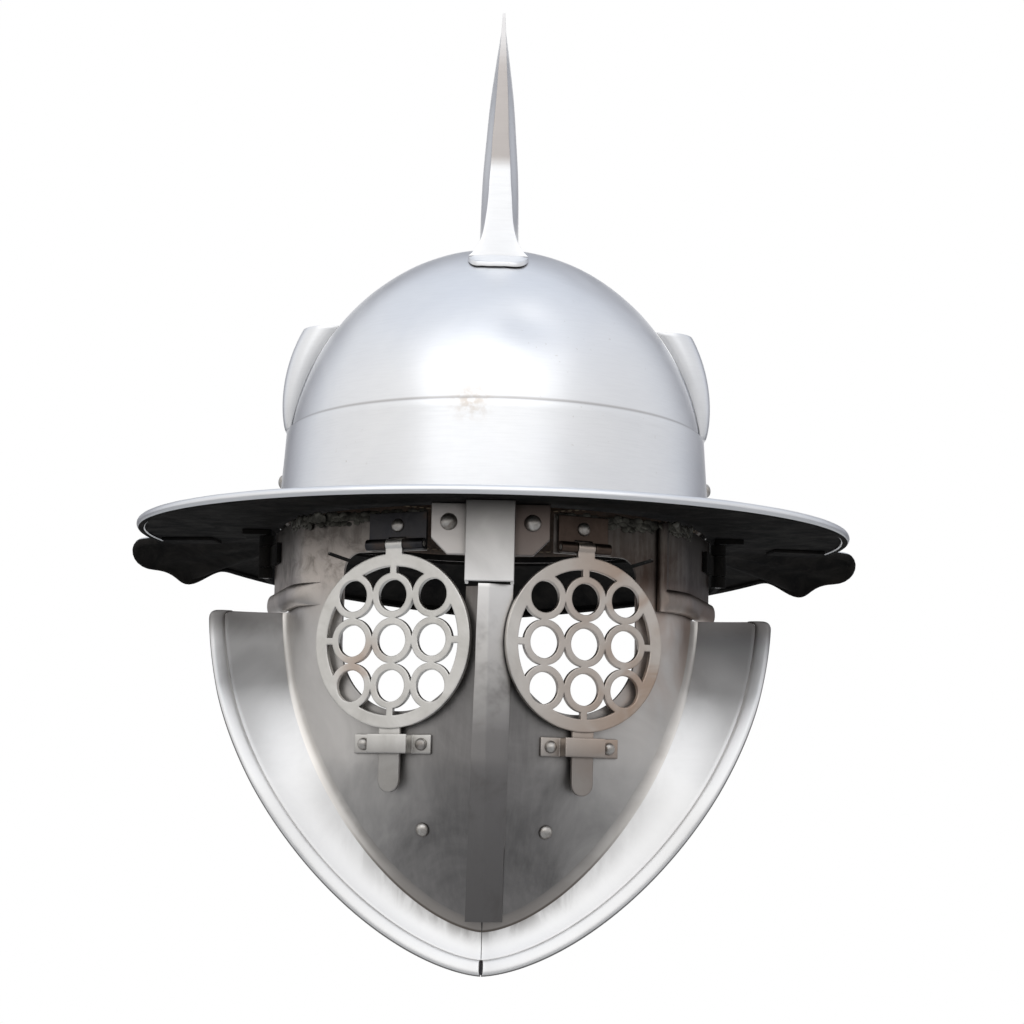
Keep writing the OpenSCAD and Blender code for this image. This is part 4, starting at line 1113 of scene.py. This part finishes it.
def crest_strip():
    steps, cols, bow = 70, 8, 0.35
    low = dome_height(0, -CREST_FRONT - LAP_GAP, LAP_GAP) + SEAT_GAP

    def skin(k, j, off):
        f = (k / steps) ** 1.5
        t = 2 * j / cols - 1
        y = -CREST_FRONT - LAP_GAP - off - bow * (1 - t**2) * (1 - f) * (off > 0)
        z = low + (CREST_TIP - low) * f
        wave = 0.25 * ripple((0, 0, z), size=14, seed=1.3) * share(f * 6)
        return np.array((strip_half(f) * t + wave, y, z))

    strip = skin_sheet("crest_strip", skin, steps, cols, CREST_SHEET, 0.0)
    settle(shaded(eased(strip, 0.25)), "helmet", "polished", POLISHED, "crest_front_strip")


def crest_foot():
    """Bell-shaped foot with a thick, uneven lip."""
    rows, cols = 16, 56
    lip_height, lip_width, lift = 0.9, 0.28, 0.35
    start = -CREST_FRONT - LAP_GAP - CREST_SHEET - SEAT_GAP

    def skin(i, j, off):
        t = 2 * j / cols - 1
        x = FOOT_HALF_WIDTH * signed_power(t, 0.85)
        bell = FOOT_REACH * math.sqrt(max(0.04, 1 - abs(t) ** 3.5))
        reach = bell * (1 + 0.06 * ripple((x, 0, 0), size=4.5, seed=6.1))
        y = start - reach * (1 - i / rows)
        lip = lip_height * bump_at(i / rows, 0.0, lip_width) + 0.35 * ripple((x, y, 0), size=5, seed=2.7)
        return np.array((x, y, dome_height(x, y, LAP_GAP) + lift + off + (lip if off else 0.0)))

    foot = skin_sheet("crest_foot_plate", skin, rows, cols, CREST_SHEET, 0.0)
    settle(shaded(eased(foot, 0.5, steps=3), 60), "helmet", "polished", POLISHED, "crest_foot")


def plume_holders():
    rows, cols = 30, 44
    foot_share, foot_stand, lift = 0.55, 2.6, 0.45

    def skin(i, j, off):
        f = i / rows
        z = PLUME_FOOT + (PLUME_TOP - PLUME_FOOT) * f
        b = math.pi * j / cols - math.pi / 2
        y = (PLUME_HALF_WIDTH * (foot_share + (1 - foot_share) * f) - off) * math.sin(b)
        wall = BOWL_HALF_WIDTH * math.sqrt(
            max(0.0, 1 - ((z - DOME_LEVEL) / DOME_RISE) ** 2 - (y / BOWL_HALF_LENGTH) ** 2)
        )
        stand = PLUME_DEPTH * f**0.8 + foot_stand - off
        return np.array((wall + LAP_GAP + lift + stand * max(0.0, math.cos(b)) ** 0.6, y, z))

    for side, word in SIDES.items():
        holder = skin_sheet("plume_pocket_" + word, skin, rows, cols, 0.0, PLUME_SHEET, side)
        settle(shaded(eased(holder, 0.3)), "helmet", "polished", POLISHED, "plume_holder_" + word)


# The visor halves


def eye_place(across, up, out):
    """Place in the right eye's own frame: across the cheek, up and out of its face."""
    x, y = plan_point(plan_length(EYE_X))
    return np.array((
        x + across * math.cos(CHEEK_YAW) + out * math.sin(CHEEK_YAW),
        y + across * math.sin(CHEEK_YAW) - out * math.cos(CHEEK_YAW),
        up - EYE_DEPTH,
    ))


OUT_OF_CHEEK = np.array((math.sin(CHEEK_YAW), -math.cos(CHEEK_YAW), 0.0))


def taut_outline(*discs):
    """Outline drawn tight round a few discs, each a middle and a radius."""
    steps = 96
    dots = sorted(
        (x + r * math.cos(2 * math.pi * k / steps), y + r * math.sin(2 * math.pi * k / steps))
        for (x, y), r in discs
        for k in range(steps)
    )

    def half(points):
        kept = []
        for q in points:
            while len(kept) > 1 and (
                (kept[-1][0] - kept[-2][0]) * (q[1] - kept[-2][1])
                <= (kept[-1][1] - kept[-2][1]) * (q[0] - kept[-2][0])
            ):
                kept.pop()
            kept.append(q)
        return kept[:-1]

    return half(dots) + half(dots[::-1])


EYE_SIDE = EYE_R - EYE_CORNER_R - 0.5
EYE_OUTLINE = taut_outline(
    ((-EYE_SHIFT, 0), EYE_R),
    ((-1.5 * EYE_SHIFT - EYE_SIDE, EYE_TOP - EYE_CORNER_R), EYE_CORNER_R),
    ((EYE_SIDE - EYE_SHIFT, EYE_TOP - EYE_CORNER_R), EYE_CORNER_R),
)
SLIT_OUTLINE = taut_outline(
    ((EYE_SIDE - EYE_SHIFT + EYE_CORNER_R / 2, EYE_TOP - EYE_CORNER_R / 2), SLIT_W / 2),
    ((EYE_SIDE - EYE_SHIFT + 2 * EYE_CORNER_R, EYE_TOP), SLIT_W / 2),
)


def box_tool(name, low, high, side):
    x0, y0, z0 = low
    x1, y1, z1 = high
    points = [(x, y, z) for x in (x0, x1) for y in (y0, y1) for z in (z0, z1)]
    faces = [(0, 1, 3, 2), (4, 6, 7, 5), (0, 4, 5, 1), (2, 3, 7, 6), (0, 2, 6, 4), (1, 5, 7, 3)]
    return to_mesh(name, points, faces, side)


def cheek_sheets():
    curved, straight, cols = 52, 10, 60
    still_by_nose, still_above, soft_width = 18, 110, 20
    chin = math.radians(86)
    start = plan_length(SEAM_GAP / 2)
    back_start = start + VISOR_SHEET * math.tan(CHEEK_YAW)
    stop = plan_length(CREASE_HALF_WIDTH)
    rows = []
    for i in range(curved + 1):
        a = chin * (1 - i / curved)
        x = max(SEAM_GAP / 2, CREASE_HALF_WIDTH * math.cos(a) ** CREASE_POWER)
        z = -CREASE_TOP - (CHIN_DEPTH - CREASE_TOP) * math.sin(a) ** CREASE_POWER
        rows.append((z, plan_length(x)))
    rise = VISOR_TOP + CREASE_TOP
    rows += [(-CREASE_TOP + rise * i / straight, stop) for i in range(1, straight + 1)]

    def skin(row, j, begin, off):
        z, end = row
        u = begin + (end - begin) * j / cols
        p = visor_point(u, z, off)
        inside = share((u - still_by_nose) / soft_width) * share((end - u) / soft_width)
        soft = 0.25 * ripple(p, size=30, seed=8.8) * inside
        return p + soft * OUT_OF_CHEEK * share((-z - still_above) / soft_width)

    def through(name, outline, side):
        return swept_piece(name, [[eye_place(x, z, out) for x, z in outline] for out in (-20, 20)], side)

    def notch(name, half, drop, side):
        return box_tool(name, (-1, -150, -drop), (half + NOTCH_GAP, -70, 5), side)

    for side, word in SIDES.items():
        cheek = sheet_piece(
            "cheek_sheet_" + word,
            [[skin(r, j, start, 0.0) for j in range(cols + 1)] for r in rows],
            [[skin(r, j, back_start, -VISOR_SHEET) for j in range(cols + 1)] for r in rows],
            side,
        )
        cut(
            cheek,
            through("eye_tool", EYE_OUTLINE, side),
            through("slit_tool", SLIT_OUTLINE, side),
            notch("brow_tool", TAB_HALF_WIDTH, TAB_DROP + 7, side),
            notch("nose_tool", CHANNEL_W / 2, CHANNEL_DROP + NOTCH_GAP, side),
        )
        settle(shaded(cheek, 30), "visor_" + word, "brushed", CHEEK, "cheek_plate_" + word)


FLANGE_STEPS = 130
# From the chin to the temple, closest together at the temple
FLANGE_ANGLES = [math.pi / 2 * (1 - j / FLANGE_STEPS) ** 1.4 for j in range(FLANGE_STEPS + 1)]


def cheek_flanges():
    shares = np.linspace(1, 0, 15)
    corner_r, corner_end, border_steps = 3.5, math.radians(2.6), 28
    section = []
    # Rounded section of the border, as shares of its width and height
    for k in range(border_steps):
        b = 2 * math.pi * k / border_steps
        c, s = math.cos(b), math.sin(b)
        section.append((
            0.5 + 0.5 * signed_power(c, 0.55),
            0.3 + 0.7 * signed_power(s, 0.7),
        ))
    frames = {a: flange_frame(a) for a in FLANGE_ANGLES}

    def corner(a):
        """How far the upper outer corner is rounded off."""
        t = 1 - min(1.0, a / corner_end)
        return corner_r * (1 - math.sqrt(1 - t * t))

    def reach(a, s):
        return LAP_GAP + (frames[a][2] - corner(a) - BORDER_W - SEAT_GAP - LAP_GAP) * s

    def front(a, s):
        return seam_drawn(flange_point(a, reach(a, s)))

    def back(a, s):
        return seam_drawn(flange_point(a, reach(a, s)) - VISOR_SHEET * frames[a][3])

    def border_ring(a):
        _, way, width, normal = frames[a]
        base = flange_point(a, width - BORDER_W - corner(a))
        lift = BORDER_T * 0.3 + VISOR_SHEET * 0.2
        return [seam_drawn(base + c * BORDER_W * way + (s * BORDER_T - lift) * normal) for c, s in section]

    grid, back_grid = ([[face(a, s) for a in FLANGE_ANGLES] for s in shares] for face in (front, back))
    rings = [border_ring(a) for a in FLANGE_ANGLES]
    grid_shares = [s for s in shares for a in FLANGE_ANGLES]
    ring_shares = [SHADED_EDGE if c > 0.9 and s < 0.6 else 1.0 for c, s in section] * len(rings)
    for side, word in SIDES.items():
        flange = shaded(eased(sheet_piece("flange_sheet_" + word, grid, back_grid, side), 0.3))
        mark_across(flange, joined(grid), grid_shares, side)
        settle(flange, "visor_" + word, "polished", FLANGE, "cheek_flange_" + word)
        border = swept_piece("flange_edge_" + word, rings, side)
        mark_across(border, joined(rings), ring_shares, side)
        settle(shaded(border), "visor_" + word, "polished", FLANGE, "flange_border_" + word)


def crease_bends():
    """Soft bend that fills the valley between each cheek and its flange."""
    cheek_reach, flange_reach, bow = 7.0, 2.6, 12
    sunk, full, proud = 0.3, 0.15, 0.08
    step = math.radians(1.5)

    def bend_ring(a):
        start, way, _, front = flange_frame(a)
        along = crease_point(min(math.pi / 2, a + step)) - crease_point(max(0.0, a - step))
        turn = plan_angle(plan_length(max(SEAM_GAP / 2, start[0])))
        fall = (lean(start[2] + 0.5) - lean(start[2] - 0.5)) * math.cos(turn)
        face = np.array((math.sin(turn), -math.cos(turn), fall))
        inward = np.cross(face, along)
        inward *= -math.copysign(1, inward @ way) / np.linalg.norm(inward)
        out = (face + front) / np.linalg.norm(face + front)
        edge = start + cheek_reach * inward
        first = visor_point(plan_length(max(SEAM_GAP / 2, edge[0])), edge[2], -sunk)
        middle = start + full * out
        last = flange_point(a, flange_reach) + proud * front
        curve = [
            (1 - t) ** 2 * first + 2 * t * (1 - t) * middle + t * t * last
            for t in np.linspace(0, 1, bow + 1)
        ]
        return [seam_drawn(p) for p in curve + [start - sunk * out]]

    rings = [bend_ring(a) for a in FLANGE_ANGLES]
    shares = [*np.linspace(0, 1, bow + 1), 0.7] * len(rings)
    for side, word in SIDES.items():
        bend = swept_piece("crease_bend_" + word, rings, side)
        mark_across(bend, joined(rings), shares, side)
        settle(shaded(bend, 60), "visor_" + word, "polished", BEND)


def chin_lap():
    """Thin dark lap on the left half that closes the seam behind the two flanges, standing for the shade in
    the seam.
    """
    across = (-4.0, -1.0, 0.5, 2.2)
    above, below, gap, thick, steps = 4.5, 1.5, 0.35, 0.8, 18
    _, _, width, front = flange_frame(math.pi / 2)
    rows = np.linspace(-above, width - below, steps)

    def skin(i, j, deep):
        p = flange_point(math.pi / 2, rows[i]) - (VISOR_SHEET + gap + deep) * front
        return np.array((across[j], p[1], p[2]))

    lap = skin_sheet("chin_lap", skin, steps - 1, len(across) - 1, 0.0, thick)
    settle(shaded(lap), "visor_left", "dark_steel", BLUED)


def temple_walls():
    low = -CREASE_TOP + 0.6
    bead_h, bead_out = 10.0, 3.2
    edge_half, edge_out = 2.2, 1.8
    feather, sunk = 14.0, 0.9
    begin = plan_length(BEND_START + TEMPLE_LAP)
    end = plan_length(TEMPLE_HALF_WIDTH)
    levels = [low + bead_h * (1 - math.cos(math.pi * i / 16)) / 2 for i in range(17)]
    levels += [low + bead_h + (VISOR_TOP - low - bead_h) * i / 8 for i in range(1, 9)]
    steps = 90
    off = LAP_GAP + VISOR_SHEET

    def place(j):
        return begin + (end - begin) * j / steps

    def bead(z):
        return bead_out * math.sqrt(max(0.0, 1 - ((z - low - bead_h / 2) / (bead_h / 2)) ** 2)) ** 0.7

    def raised(j, z):
        """Right wall, with a raised front edge."""
        edge = edge_out * math.sqrt(max(0.0, 1 - ((place(j) - begin - edge_half) / edge_half) ** 2))
        return LAP_GAP, off + max(edge, bead(z) * share(j / 3))

    def hammered_down(j, z):
        """Left wall, with its front edge hammered down into the cheek."""
        rise = share((place(j) - begin) / feather)
        return LAP_GAP - sunk * (1 - rise), -0.1 + (off + 0.1 + bead(z)) * rise

    for side, word in SIDES.items():
        layers = raised if side > 0 else hammered_down
        wall = sheet_piece(
            "temple_sheet_" + word,
            [[visor_point(place(j), z, layers(j, z)[1]) for j in range(steps + 1)] for z in levels],
            [[visor_point(place(j), z, layers(j, z)[0]) for j in range(steps + 1)] for z in levels],
            side,
        )
        settle(shaded(eased(wall, 0.25)), "visor_" + word, "brushed", CHEEK, "temple_wall_" + word)


def seam_strip():
    steps = 80
    low = -CHIN_DEPTH + 2
    high = -CHANNEL_DROP - 0.8
    across = [-STRIP_LEFT, -3.0, -1.5, -0.5, 0.0, 0.5, 1.5, 3.5, 6.0, 8.5, STRIP_RIGHT]
    cols = len(across) - 1
    # How far each long edge moves to the left towards the chin
    sway = {0: 2.6, cols: 1.8}

    def skin(k, j, off):
        z = low + (high - low) * k / steps
        x = across[j]
        edge = 0.0
        if j in sway:
            edge = 0.25 * ripple((j, 0, z), size=17, seed=4.9) - sway[j] * (1 - k / steps)
        y = -RIDGE_REACH - STRIP_GAP - off + max(0.0, x) * math.tan(CHEEK_YAW) + lean(z)
        return np.array((x + edge, y, z))

    strip = skin_sheet("seam_strip", skin, steps, cols, VISOR_SHEET, 0.0)
    settle(shaded(eased(strip, 0.3), 30), "visor_right", "brushed", NOSE, "centre_strip")


def fittings():
    """Hinges, keepers, brackets and grilles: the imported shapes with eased, worn edges."""
    # The straps, side brackets and side leaves take the matt black that paints shade
    plain = [
        ("brow_plate", "helmet", "dark_steel", BLUED, 0.2),
        ("brow_bracket", "helmet", "brushed", NOSE, 0.5),
        ("brim_joint_straps", "helmet", "dark_steel", SHADE_BLACK, 0.4),
    ]
    for word in SIDES.values():
        visor = "visor_" + word
        plain += [
            ("side_hinge_bracket_" + word, "helmet", "dark_steel", SHADE_BLACK, 0.35),
            ("side_hinge_pin_" + word, "helmet", "fastener", BLUED, 0.3),
            ("side_hinge_leaf_" + word, visor, "dark_steel", SHADE_BLACK, 0.3),
            ("grille_pin_" + word, visor, "fastener", FASTENER, 0.2),
            ("keeper_" + word, visor, "brushed", GRILLE, 0.3),
            ("eye_grille_" + word, "grille_" + word, "grille", GRILLE, 0.3),
        ]
    plain.append(("grille_hinge_plate_right", "visor_right", "brushed", BROWNED, 0.3))
    plain.append(("grille_hinge_plate_left", "visor_left", "dark_steel", BLUED, 0.3))
    for node, body, slot, material, width in plain:
        piece = shaded(eased_copy(node, width), 35)
        flat = piece.modifiers.new("flat_faces", "WEIGHTED_NORMAL")
        flat.keep_sharp = True
        flat.weight = 100
        settle(applied(piece), body, slot, material, node)


def rivets():
    # Radius across, radius along and height of each kind of head
    side_head, bracket_head, hinge_head = (3.4, 3.4, 2.4), (3.7, 3.7, 2.0), (3.0, 3.0, 1.8)
    keeper_head, stud_head = (2.7, 2.7, 2.4), (3.0, 3.0, 2.2)
    segments, wobble = 28, 0.12
    side_z, bracket_x, bracket_z = 24, 18, -10
    tilt = math.atan(BAND_FLARE / BAND_TOP)
    band = band_inner(side_z) + SHEET + 0.1
    face = -TAB_FACE - VISOR_SHEET - 0.05
    helmet = []
    for side in SIDES:
        helmet.append(((side * band, 0, side_z), (side * math.cos(tilt), 0, math.sin(tilt)), side_head))
    for side in SIDES:
        helmet.append(((side * bracket_x, face, bracket_z), (0, -1, 0), bracket_head))
    piece = scatter("helmet_rivets", RIVET_TREE, helmet, FASTENER, segments, wobble)
    settle(piece, "helmet", "fastener", FASTENER, "band_side_rivets", "bracket_rivets")
    hinge_up = GRILLE_D / 2 + 4.0 + 14 * 0.6
    keeper_up, keeper_x = -GRILLE_D / 2 - 2.4 - 4.1, 14
    stud_x, stud_z = 26, -141.0
    stud = visor_point(plan_length(stud_x), stud_z, 0.3)
    leaning = CHIN_DEPTH - LEAN_START
    slope = CHIN_SETBACK * LEAN_POWER / leaning * ((-stud_z - LEAN_START) / leaning) ** (LEAN_POWER - 1)
    back = math.atan(slope)
    stud_way = OUT_OF_CHEEK * math.cos(back) + np.array((0, 0, -math.sin(back)))
    for side, word in SIDES.items():
        flip = np.array((side, 1, 1))
        spots = [
            (eye_place(0, hinge_up, 1.6), OUT_OF_CHEEK, hinge_head),
            (eye_place(keeper_x, keeper_up, 1.3), OUT_OF_CHEEK, keeper_head),
            (eye_place(-keeper_x, keeper_up, 1.3), OUT_OF_CHEEK, keeper_head),
            (stud, stud_way, stud_head),
        ]
        spots = [(place * flip, way * flip, size) for place, way, size in spots]
        piece = scatter("visor_rivets_" + word, RIVET_TREE, spots, FASTENER, segments, wobble)
        nodes = [node + word for node in ("hinge_rivet_", "keeper_rivets_", "cheek_stud_")]
        settle(piece, "visor_" + word, "fastener", FASTENER, *nodes)


def weld_beads():
    """Lumpy weld along the top edge of each cheek, under the brim."""
    rng = np.random.default_rng(11)
    begin, end = plan_length(TAB_HALF_WIDTH + 4), plan_length(88)
    wall_start = plan_length(BEND_START + TEMPLE_LAP)
    spacing, row_height, second_row_share = 1.1, 2.4, 0.55
    for side, word in SIDES.items():
        flip = np.array((side, 1, 1))
        spots = []
        for u in np.arange(begin, end, spacing):
            off = 0.1 if u < wall_start else LAP_GAP + VISOR_SHEET
            turn = plan_angle(u)
            for row in range(2):
                size = rng.uniform(1.0, 2.1) * (1 - 0.3 * row)
                z = VISOR_TOP - 0.6 - row_height * row - rng.uniform(0, 1.2)
                way = np.array((math.sin(turn), -math.cos(turn), rng.uniform(-0.5, 0.5)))
                place = visor_point(u + rng.uniform(-0.5, 0.5), z, off)
                if row == 0 or rng.random() < second_row_share:
                    spots.append((place * flip, way * flip, (size * 1.4, size * 1.2, size * 0.4)))
        piece = scatter("weld_bead_" + word, BALL_TREE, spots, WELD, segments=14, wobble=0.7)
        settle(piece, "visor_" + word, "brushed", WELD)


# The leather liner

CAP_ROWS = 26
CAP_SEAMS = 8
CAP_FROM = DOME_LEVEL + LAP_GAP


def cap_inset(f):
    """How far inside the dome the cap's outer face lies, at a share of its height."""
    return SHEET + LAP_GAP + 0.4 + (CAP_SPACE - LAP_GAP) * share(f * 2.5)


def cap_level(f, depth):
    return CAP_FROM + (DOME_TOP - CAP_FROM - depth) * math.sin(math.pi / 2 * f)


def leather_cap():
    groove_depth, groove_width = 1.1, 0.09

    def seam(a):
        """How far a place lies from the nearest sewn seam, from 0 on a seam to 1 between two."""
        t = (a / (2 * math.pi) * CAP_SEAMS) % 1.0
        return min(t, 1 - t) * 2

    def ring(i, more):
        f = i / CAP_ROWS
        depth = cap_inset(f) + more
        z = cap_level(f, depth)
        points = []
        for a in ANGLES:
            groove = groove_depth * math.exp(-((seam(a) / groove_width) ** 2)) * share(f * 4)
            soft = 0.5 * ripple(dome_point(a, z), size=24, seed=6.6) * share(f * 3)
            points.append(dome_point(a, z, depth + soft + (-groove if more else 0.0)))
        return points

    crown = DOME_TOP - cap_inset(1)
    outer, inner = ([ring(i, more) for i in range(CAP_ROWS)] for more in (0.0, LEATHER_T))
    cap = cap_piece("leather_cap", outer, (0, 0, crown), inner, (0, 0, crown - LEATHER_T))
    settle(shaded(cap, 60), "helmet", "leather", LEATHER, "liner_cap")


def leather_headband():
    middle, half_height, steps = 16.5, 13.5, 20

    def edge(a, k):
        b = 2 * math.pi * k / steps
        c, s = math.cos(b), math.sin(b)
        z = middle + half_height * signed_power(s, 0.35)
        out = LEATHER_T / 2 * (signed_power(c, 0.5) - 1)
        return hoop_point(a, band_inner(z) - LAP_GAP - 0.1 + out, z)

    rings = [[edge(a, k) for k in range(steps)] for a in ANGLES]
    band = swept_piece("leather_headband", rings, loop=True)
    settle(shaded(band, 60), "helmet", "leather", LEATHER, "liner_band")


def liner_stitches():
    """Two rows round the headband and one on each side of every seam of the cap."""
    rows, count, beside_seam = (5.6, 27.2), 150, 0.035
    band_stitch, cap_stitch = (0.42, 0.42, 1.5), (0.42, 0.42, 1.7)
    spots = []
    for level in rows:
        half = band_inner(level)
        for k in range(count):
            a = 2 * math.pi * k / count
            place = hoop_point(a, half - LAP_GAP - 0.1 - LEATHER_T, level)
            spots.append((place, hoop_point(a + 0.01, half, level) - hoop_point(a, half, level), band_stitch))
    for k in range(CAP_SEAMS):
        for turn in (-beside_seam, beside_seam):
            a = 2 * math.pi * k / CAP_SEAMS + turn
            for i in range(3, 22):
                f = (i + 0.5) / CAP_ROWS
                depth = cap_inset(f) + LEATHER_T
                here, above = (dome_point(a, cap_level(g, depth), depth) for g in (f, f + 0.01))
                place = dome_point(a, cap_level(f, depth), depth + 0.1)
                spots.append((place, above - here, cap_stitch))
    stitches = scatter("liner_stitches", BALL_TREE, spots, THREAD, segments=8, wobble=0.0)
    settle(stitches, "helmet", "leather", THREAD)


bowl_dome()
bowl_band()
brim_sheet()
guard_sheet()
crest_sheets()
crest_strip()
crest_foot()
plume_holders()
cheek_sheets()
cheek_flanges()
crease_bends()
chin_lap()
temple_walls()
seam_strip()
fittings()
rivets()
weld_beads()
leather_cap()
leather_headband()
liner_stitches()


# The studio


def plain_material(name, colour, rough, glow=False):
    """Plain set material; the backdrop shows as white to the camera, to metal and through glass."""
    material = bpy.data.materials.new(name)
    material.use_nodes = True
    tree = material.node_tree
    paper = tree.nodes["Principled BSDF"]
    paper.inputs["Base Color"].default_value = (*colour, 1)
    paper.inputs["Roughness"].default_value = rough
    if glow:
        white = add_node(tree, "ShaderNodeEmission", {"Color": (1, 1, 1, 1), "Strength": 1.0})
        path = add_node(tree, "ShaderNodeLightPath").outputs
        seen = path["Is Camera Ray"]
        for ray in ("Is Glossy Ray", "Is Transmission Ray"):
            seen = add_node(tree, "ShaderNodeMath", {0: seen, 1: path[ray]}, operation="MAXIMUM").outputs[0]
        shaders = {"Fac": seen, 1: paper.outputs["BSDF"], 2: white.outputs["Emission"]}
        mix = add_node(tree, "ShaderNodeMixShader", shaders)
        tree.links.new(mix.outputs["Shader"], tree.nodes["Material Output"].inputs["Surface"])
    return material


def flat_panel(name, corners, material):
    mesh = bpy.data.meshes.new(name)
    mesh.from_pydata(corners, [], [tuple(range(len(corners)))])
    mesh.materials.append(material)
    placed(name, mesh)


def floor_and_backdrop():
    """Grey round floor below the helmet, and a white panel behind it that fills the camera's view."""
    floor_z, floor_r, steps = -0.75, 6, 48
    half, back, low, high = 0.9, 2.4, -0.74, 1.25
    turns = [2 * math.pi * k / steps for k in range(steps)]
    round_floor = [(floor_r * math.cos(t), floor_r * math.sin(t), floor_z) for t in turns]
    flat_panel("floor", round_floor, plain_material("floor_paper", (0.50, 0.50, 0.495), 0.9))
    panel = [(-half, back, low), (half, back, low), (half, back, high), (-half, back, high)]
    flat_panel("backdrop", panel, plain_material("backdrop_paper", (0.85, 0.85, 0.85), 0.9, glow=True))


def studio_world():
    """Soft surround: bright above and ahead, darker to the right, behind and below."""
    world = bpy.data.worlds.new("studio_surround")
    bpy.context.scene.world = world
    world.use_nodes = True
    tree = world.node_tree
    place = add_node(tree, "ShaderNodeTexCoord").outputs["Generated"]
    parts = add_node(tree, "ShaderNodeSeparateXYZ", {0: place}).outputs

    def tones(axis, *stops):
        """Colours along one axis of the surround, whose ends lie at -1 and 1."""
        spread = add_node(tree, "ShaderNodeMapRange", {"Value": parts[axis], "From Min": -1.0})
        node = add_node(tree, "ShaderNodeValToRGB", {"Fac": spread.outputs["Result"]})
        node.color_ramp.interpolation = "EASE"
        set_stops(node.color_ramp, [((at + 1) / 2, colour) for at, colour in stops])
        return node.outputs["Color"]

    def product(first, second):
        inputs = {0: 1.0, 6: first, 7: second}
        return add_node(tree, "ShaderNodeMix", inputs, data_type="RGBA", blend_type="MULTIPLY").outputs[2]

    height = tones(
        "Z",
        (-1.0, (0.12, 0.11, 0.10)),
        (-0.35, (0.16, 0.155, 0.15)),
        (-0.1, (0.36, 0.35, 0.345)),
        (0.03, (0.80, 0.795, 0.79)),
        (0.12, (0.98, 0.98, 0.98)),
        (0.55, (1.0, 1.0, 1.0)),
        (1.0, (0.86, 0.90, 0.97)),
    )
    depth = tones(
        "Y",
        (-1.0, (0.95, 0.95, 0.95)),
        (-0.6, (1.0, 1.0, 1.0)),
        (0.3, (0.95, 0.96, 0.98)),
        (0.55, (0.84, 0.87, 0.92)),
        (0.74, (0.48, 0.49, 0.53)),
        (0.88, (0.17, 0.17, 0.19)),
        (1.0, (0.10, 0.10, 0.12)),
    )
    sides = tones(
        "X",
        (-1.0, (0.94, 0.93, 0.92)),
        (-0.5, (1.0, 1.0, 1.0)),
        (0.1, (1.0, 1.0, 1.0)),
        (0.55, (0.87, 0.875, 0.89)),
        (1.0, (0.83, 0.83, 0.84)),
    )
    sky = tree.nodes["Background"].inputs
    tree.links.new(product(product(height, depth), sides), sky["Color"])
    sky["Strength"].default_value = 1.0


def soft_box(name, place, aim, size, power):
    lamp = bpy.data.lights.new(name, "AREA")
    lamp.shape = "RECTANGLE"
    lamp.size, lamp.size_y = size
    lamp.energy = power
    obj = placed(name, lamp)
    obj.location = place
    obj.rotation_euler = (Vector(aim) - Vector(place)).to_track_quat("-Z", "Y").to_euler()


floor_and_backdrop()
studio_world()
soft_box("front_top_box", (-0.1, -1.9, 1.7), (0, 0, 0.05), (4.0, 2.6), 16)


def photo_camera():
    """Camera in front of the helmet, a little below its brim and looking up."""
    place = (0.01042, -1.08515, -0.13302)
    yaw, pitch, roll = -0.0015, 0.1326, 0.0215
    focal_pixels, picture_pixels, sensor = 2255, 1024, 36
    data = bpy.data.cameras.new("photo_camera")
    obj = placed("photo_camera", data)
    ahead = Vector((math.sin(yaw) * math.cos(pitch), math.cos(yaw) * math.cos(pitch), math.sin(pitch)))
    right = Vector((math.cos(yaw), -math.sin(yaw), 0))
    up = right.cross(ahead)
    across = math.cos(roll) * right + math.sin(roll) * up
    tall = -math.sin(roll) * right + math.cos(roll) * up
    turn = Matrix((across, tall, -ahead)).transposed().to_4x4()
    obj.matrix_world = Matrix.Translation(place) @ turn
    data.sensor_width = sensor
    data.lens = sensor * focal_pixels / picture_pixels
    data.clip_start, data.clip_end = 0.05, 50
    bpy.context.scene.camera = obj


photo_camera()
bpy.context.scene.view_settings.view_transform = "Standard"

bpy.context.view_layer.update()
